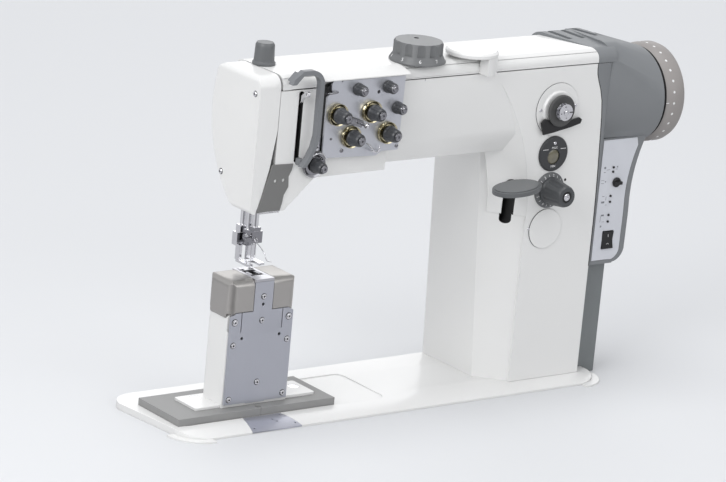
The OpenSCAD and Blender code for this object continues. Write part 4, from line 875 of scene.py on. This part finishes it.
scale_marks = Print()
for step in range(18):
    turn = math.radians(step * 20)
    out = Vector((math.cos(turn), 0, math.sin(turn)))
    face = Vector((out.x * math.sin(0.355), -math.cos(0.355), out.z * math.sin(0.355)))
    place = Vector((ctrl_x, column_front - 2.9 * MM, scale_z)) + out * 20.2 * MM
    if step % 2:
        scale_marks.stroke(place, face, 0.7, 3.0, lean=turn - math.pi / 2)
    else:
        scale_marks.figures(str(step // 2), place, face, 3.6, lean=turn - math.pi / 2)
scale_marks.done("scale_marks", white_ink, "stitch")
gauge_face = low("gauge_bezel").y - 0.03 * MM
levels = Print()
for side in (-1, 1):
    levels.stroke((ctrl_x + side * 14.5 * MM, gauge_face, gauge.z + 6.5 * MM), (0, -1, 0), 9, 0.8)
levels.figures("MAX", (ctrl_x, gauge_face, gauge.z + 8.2 * MM), (0, -1, 0), 3)
levels.figures("MIN", (ctrl_x, gauge_face, gauge.z - 16.5 * MM), (0, -1, 0), 3)
levels.done("gauge_marks", white_ink, "machine")
pointer = Print()
pointer.dot((ctrl_x + 26 * MM, column_front - 0.02 * MM, scale_z + 11.4 * MM), (0, -1, 0), 1.9)
pointer.done("scale_pointer", black_ink_and_hole_shade, "machine")

# ---------- Motor housing ----------
# The drive's housing is moulded in dark grey plastic with a fine spark-eroded texture; the panel
# is a pale printed foil, and a plain grey duct leads the cables down.

motor_grey = moulded("motor housing plastic", (0.215, 0.225, 0.235), 0.5, 0.03 * MM, 1.2 * MM, 1100)
duct_grey = moulded("duct plastic", (0.20, 0.215, 0.22), 0.55, 0.02 * MM)
panel_foil = moulded("panel foil", (0.66, 0.675, 0.72), 0.48, 0.008 * MM, 0.2 * MM)
dress("motor_housing", motor_grey, edge=1.2 * MM, reshape=joint_turned)
dress("cable_duct", duct_grey, edge=0.8 * MM)
dress("control_panel", panel_foil, edge=0.2 * MM)
column_right = high("arm_casting").x / MM


def lip(name, aside, proud, finish):
    """The housing's edge that laps over the column's corner, as a thin sheet on the column's front."""
    edge = [(column_right, 147)] + [(column_right - back - aside, rise) for back, rise in (
        (-0.4, 147), (-0.4, 225), (1.5, 278), (3.5, 320), (5.0, 350), (7.5, 372), (11.5, 387), (16, 398),
        (19.3, 408), (20, 414), (20, 422.3))] + [(column_right, 422.3)]
    sheet = bmesh.new()
    corners = [sheet.verts.new((across * MM, column_front + 0.6 * MM, rise * MM)) for across, rise in edge]
    grown = bmesh.ops.extrude_face_region(sheet, geom=[sheet.faces.new(corners)])["geom"]
    bmesh.ops.translate(sheet, verts=[piece for piece in grown if isinstance(piece, bmesh.types.BMVert)],
                        vec=(0, (-0.6 - proud) * MM, 0))
    # it slopes down to the housing's front on the right
    side = [face for face in sheet.faces if face.calc_center_median().x > (column_right - 0.01) * MM]
    bmesh.ops.delete(sheet, geom=side, context="FACES_ONLY")
    front, end, back = (
        [sheet.verts.new((across * MM, column_front + deep * MM, rise * MM)) for rise in (147, 422.3)]
        for across, deep in ((column_right, -proud), (column_right + 4, 1.1), (column_right, 0.6)))
    for corners in ((front[0], end[0], end[1], front[1]), (end[0], back[0], back[1], end[1]),
                    (front[0], back[0], end[0]), (front[1], end[1], back[1])):
        sheet.faces.new(corners)
    bmesh.ops.remove_doubles(sheet, verts=sheet.verts, dist=1e-6)
    finished(name, sheet, finish, "machine")


lip("housing_lip", 0, 0.35, motor_grey)
# A black strip beside the lip is painted shadow in the gap between housing and column.
lip("housing_lip_shadow", 1.1, 0.15, painted_shade)
panel_y = low("control_panel").y - 0.03 * MM
lamp_x = middle("panel_lamps").x
foil = Print()
for across, rise, width, height in (
        (-14, 279, 3, 3), (-14, 273, 3, 0.6), (-8, 276, 6, 0.5), (6, 276, 3, 0.6), (7, 279, 2, 2),
        (-12, 240, 4, 0.6), (-7, 237, 0.6, 5), (-12, 232, 5, 2.4), (-6, 228, 3, 0.6), (-10, 214, 5, 2.2),
        (-13, 209, 0.6, 8), (-8, 205, 4, 0.6), (-11, 199, 2.4, 2.4), (-16, 258, 5, 0.5), (-16, 262, 5, 0.5)):
    foil.stroke((lamp_x + across * MM, panel_y, rise * MM), (0, -1, 0), width, height)
foil.dot((lamp_x - 11 * MM, panel_y, 260 * MM), (0, -1, 0), 1)
foil.done("panel_marks", grey_ink, "machine")
switch, switch_front = middle("rocker_switch"), low("rocker_switch").y
states = Print()
states.stroke((switch.x, switch_front + 1.55 * MM, switch.z + 6 * MM), (0, -1, 0.16), 0.8, 3.2)
states.figures("O", (switch.x, switch_front + 1.45 * MM, switch.z - 6 * MM), (0, -1, -0.26), 3.4)
states.done("switch_marks", white_ink, "rocker")
tick = Print()
tick.stroke((high("motor_housing").x - 5 * MM, low("motor_housing").y - 12 * MM, hub.z + 4 * MM),
            (0.05, -1, 0), 5, 1)
tick.done("wheel_tick", white_ink, "machine")
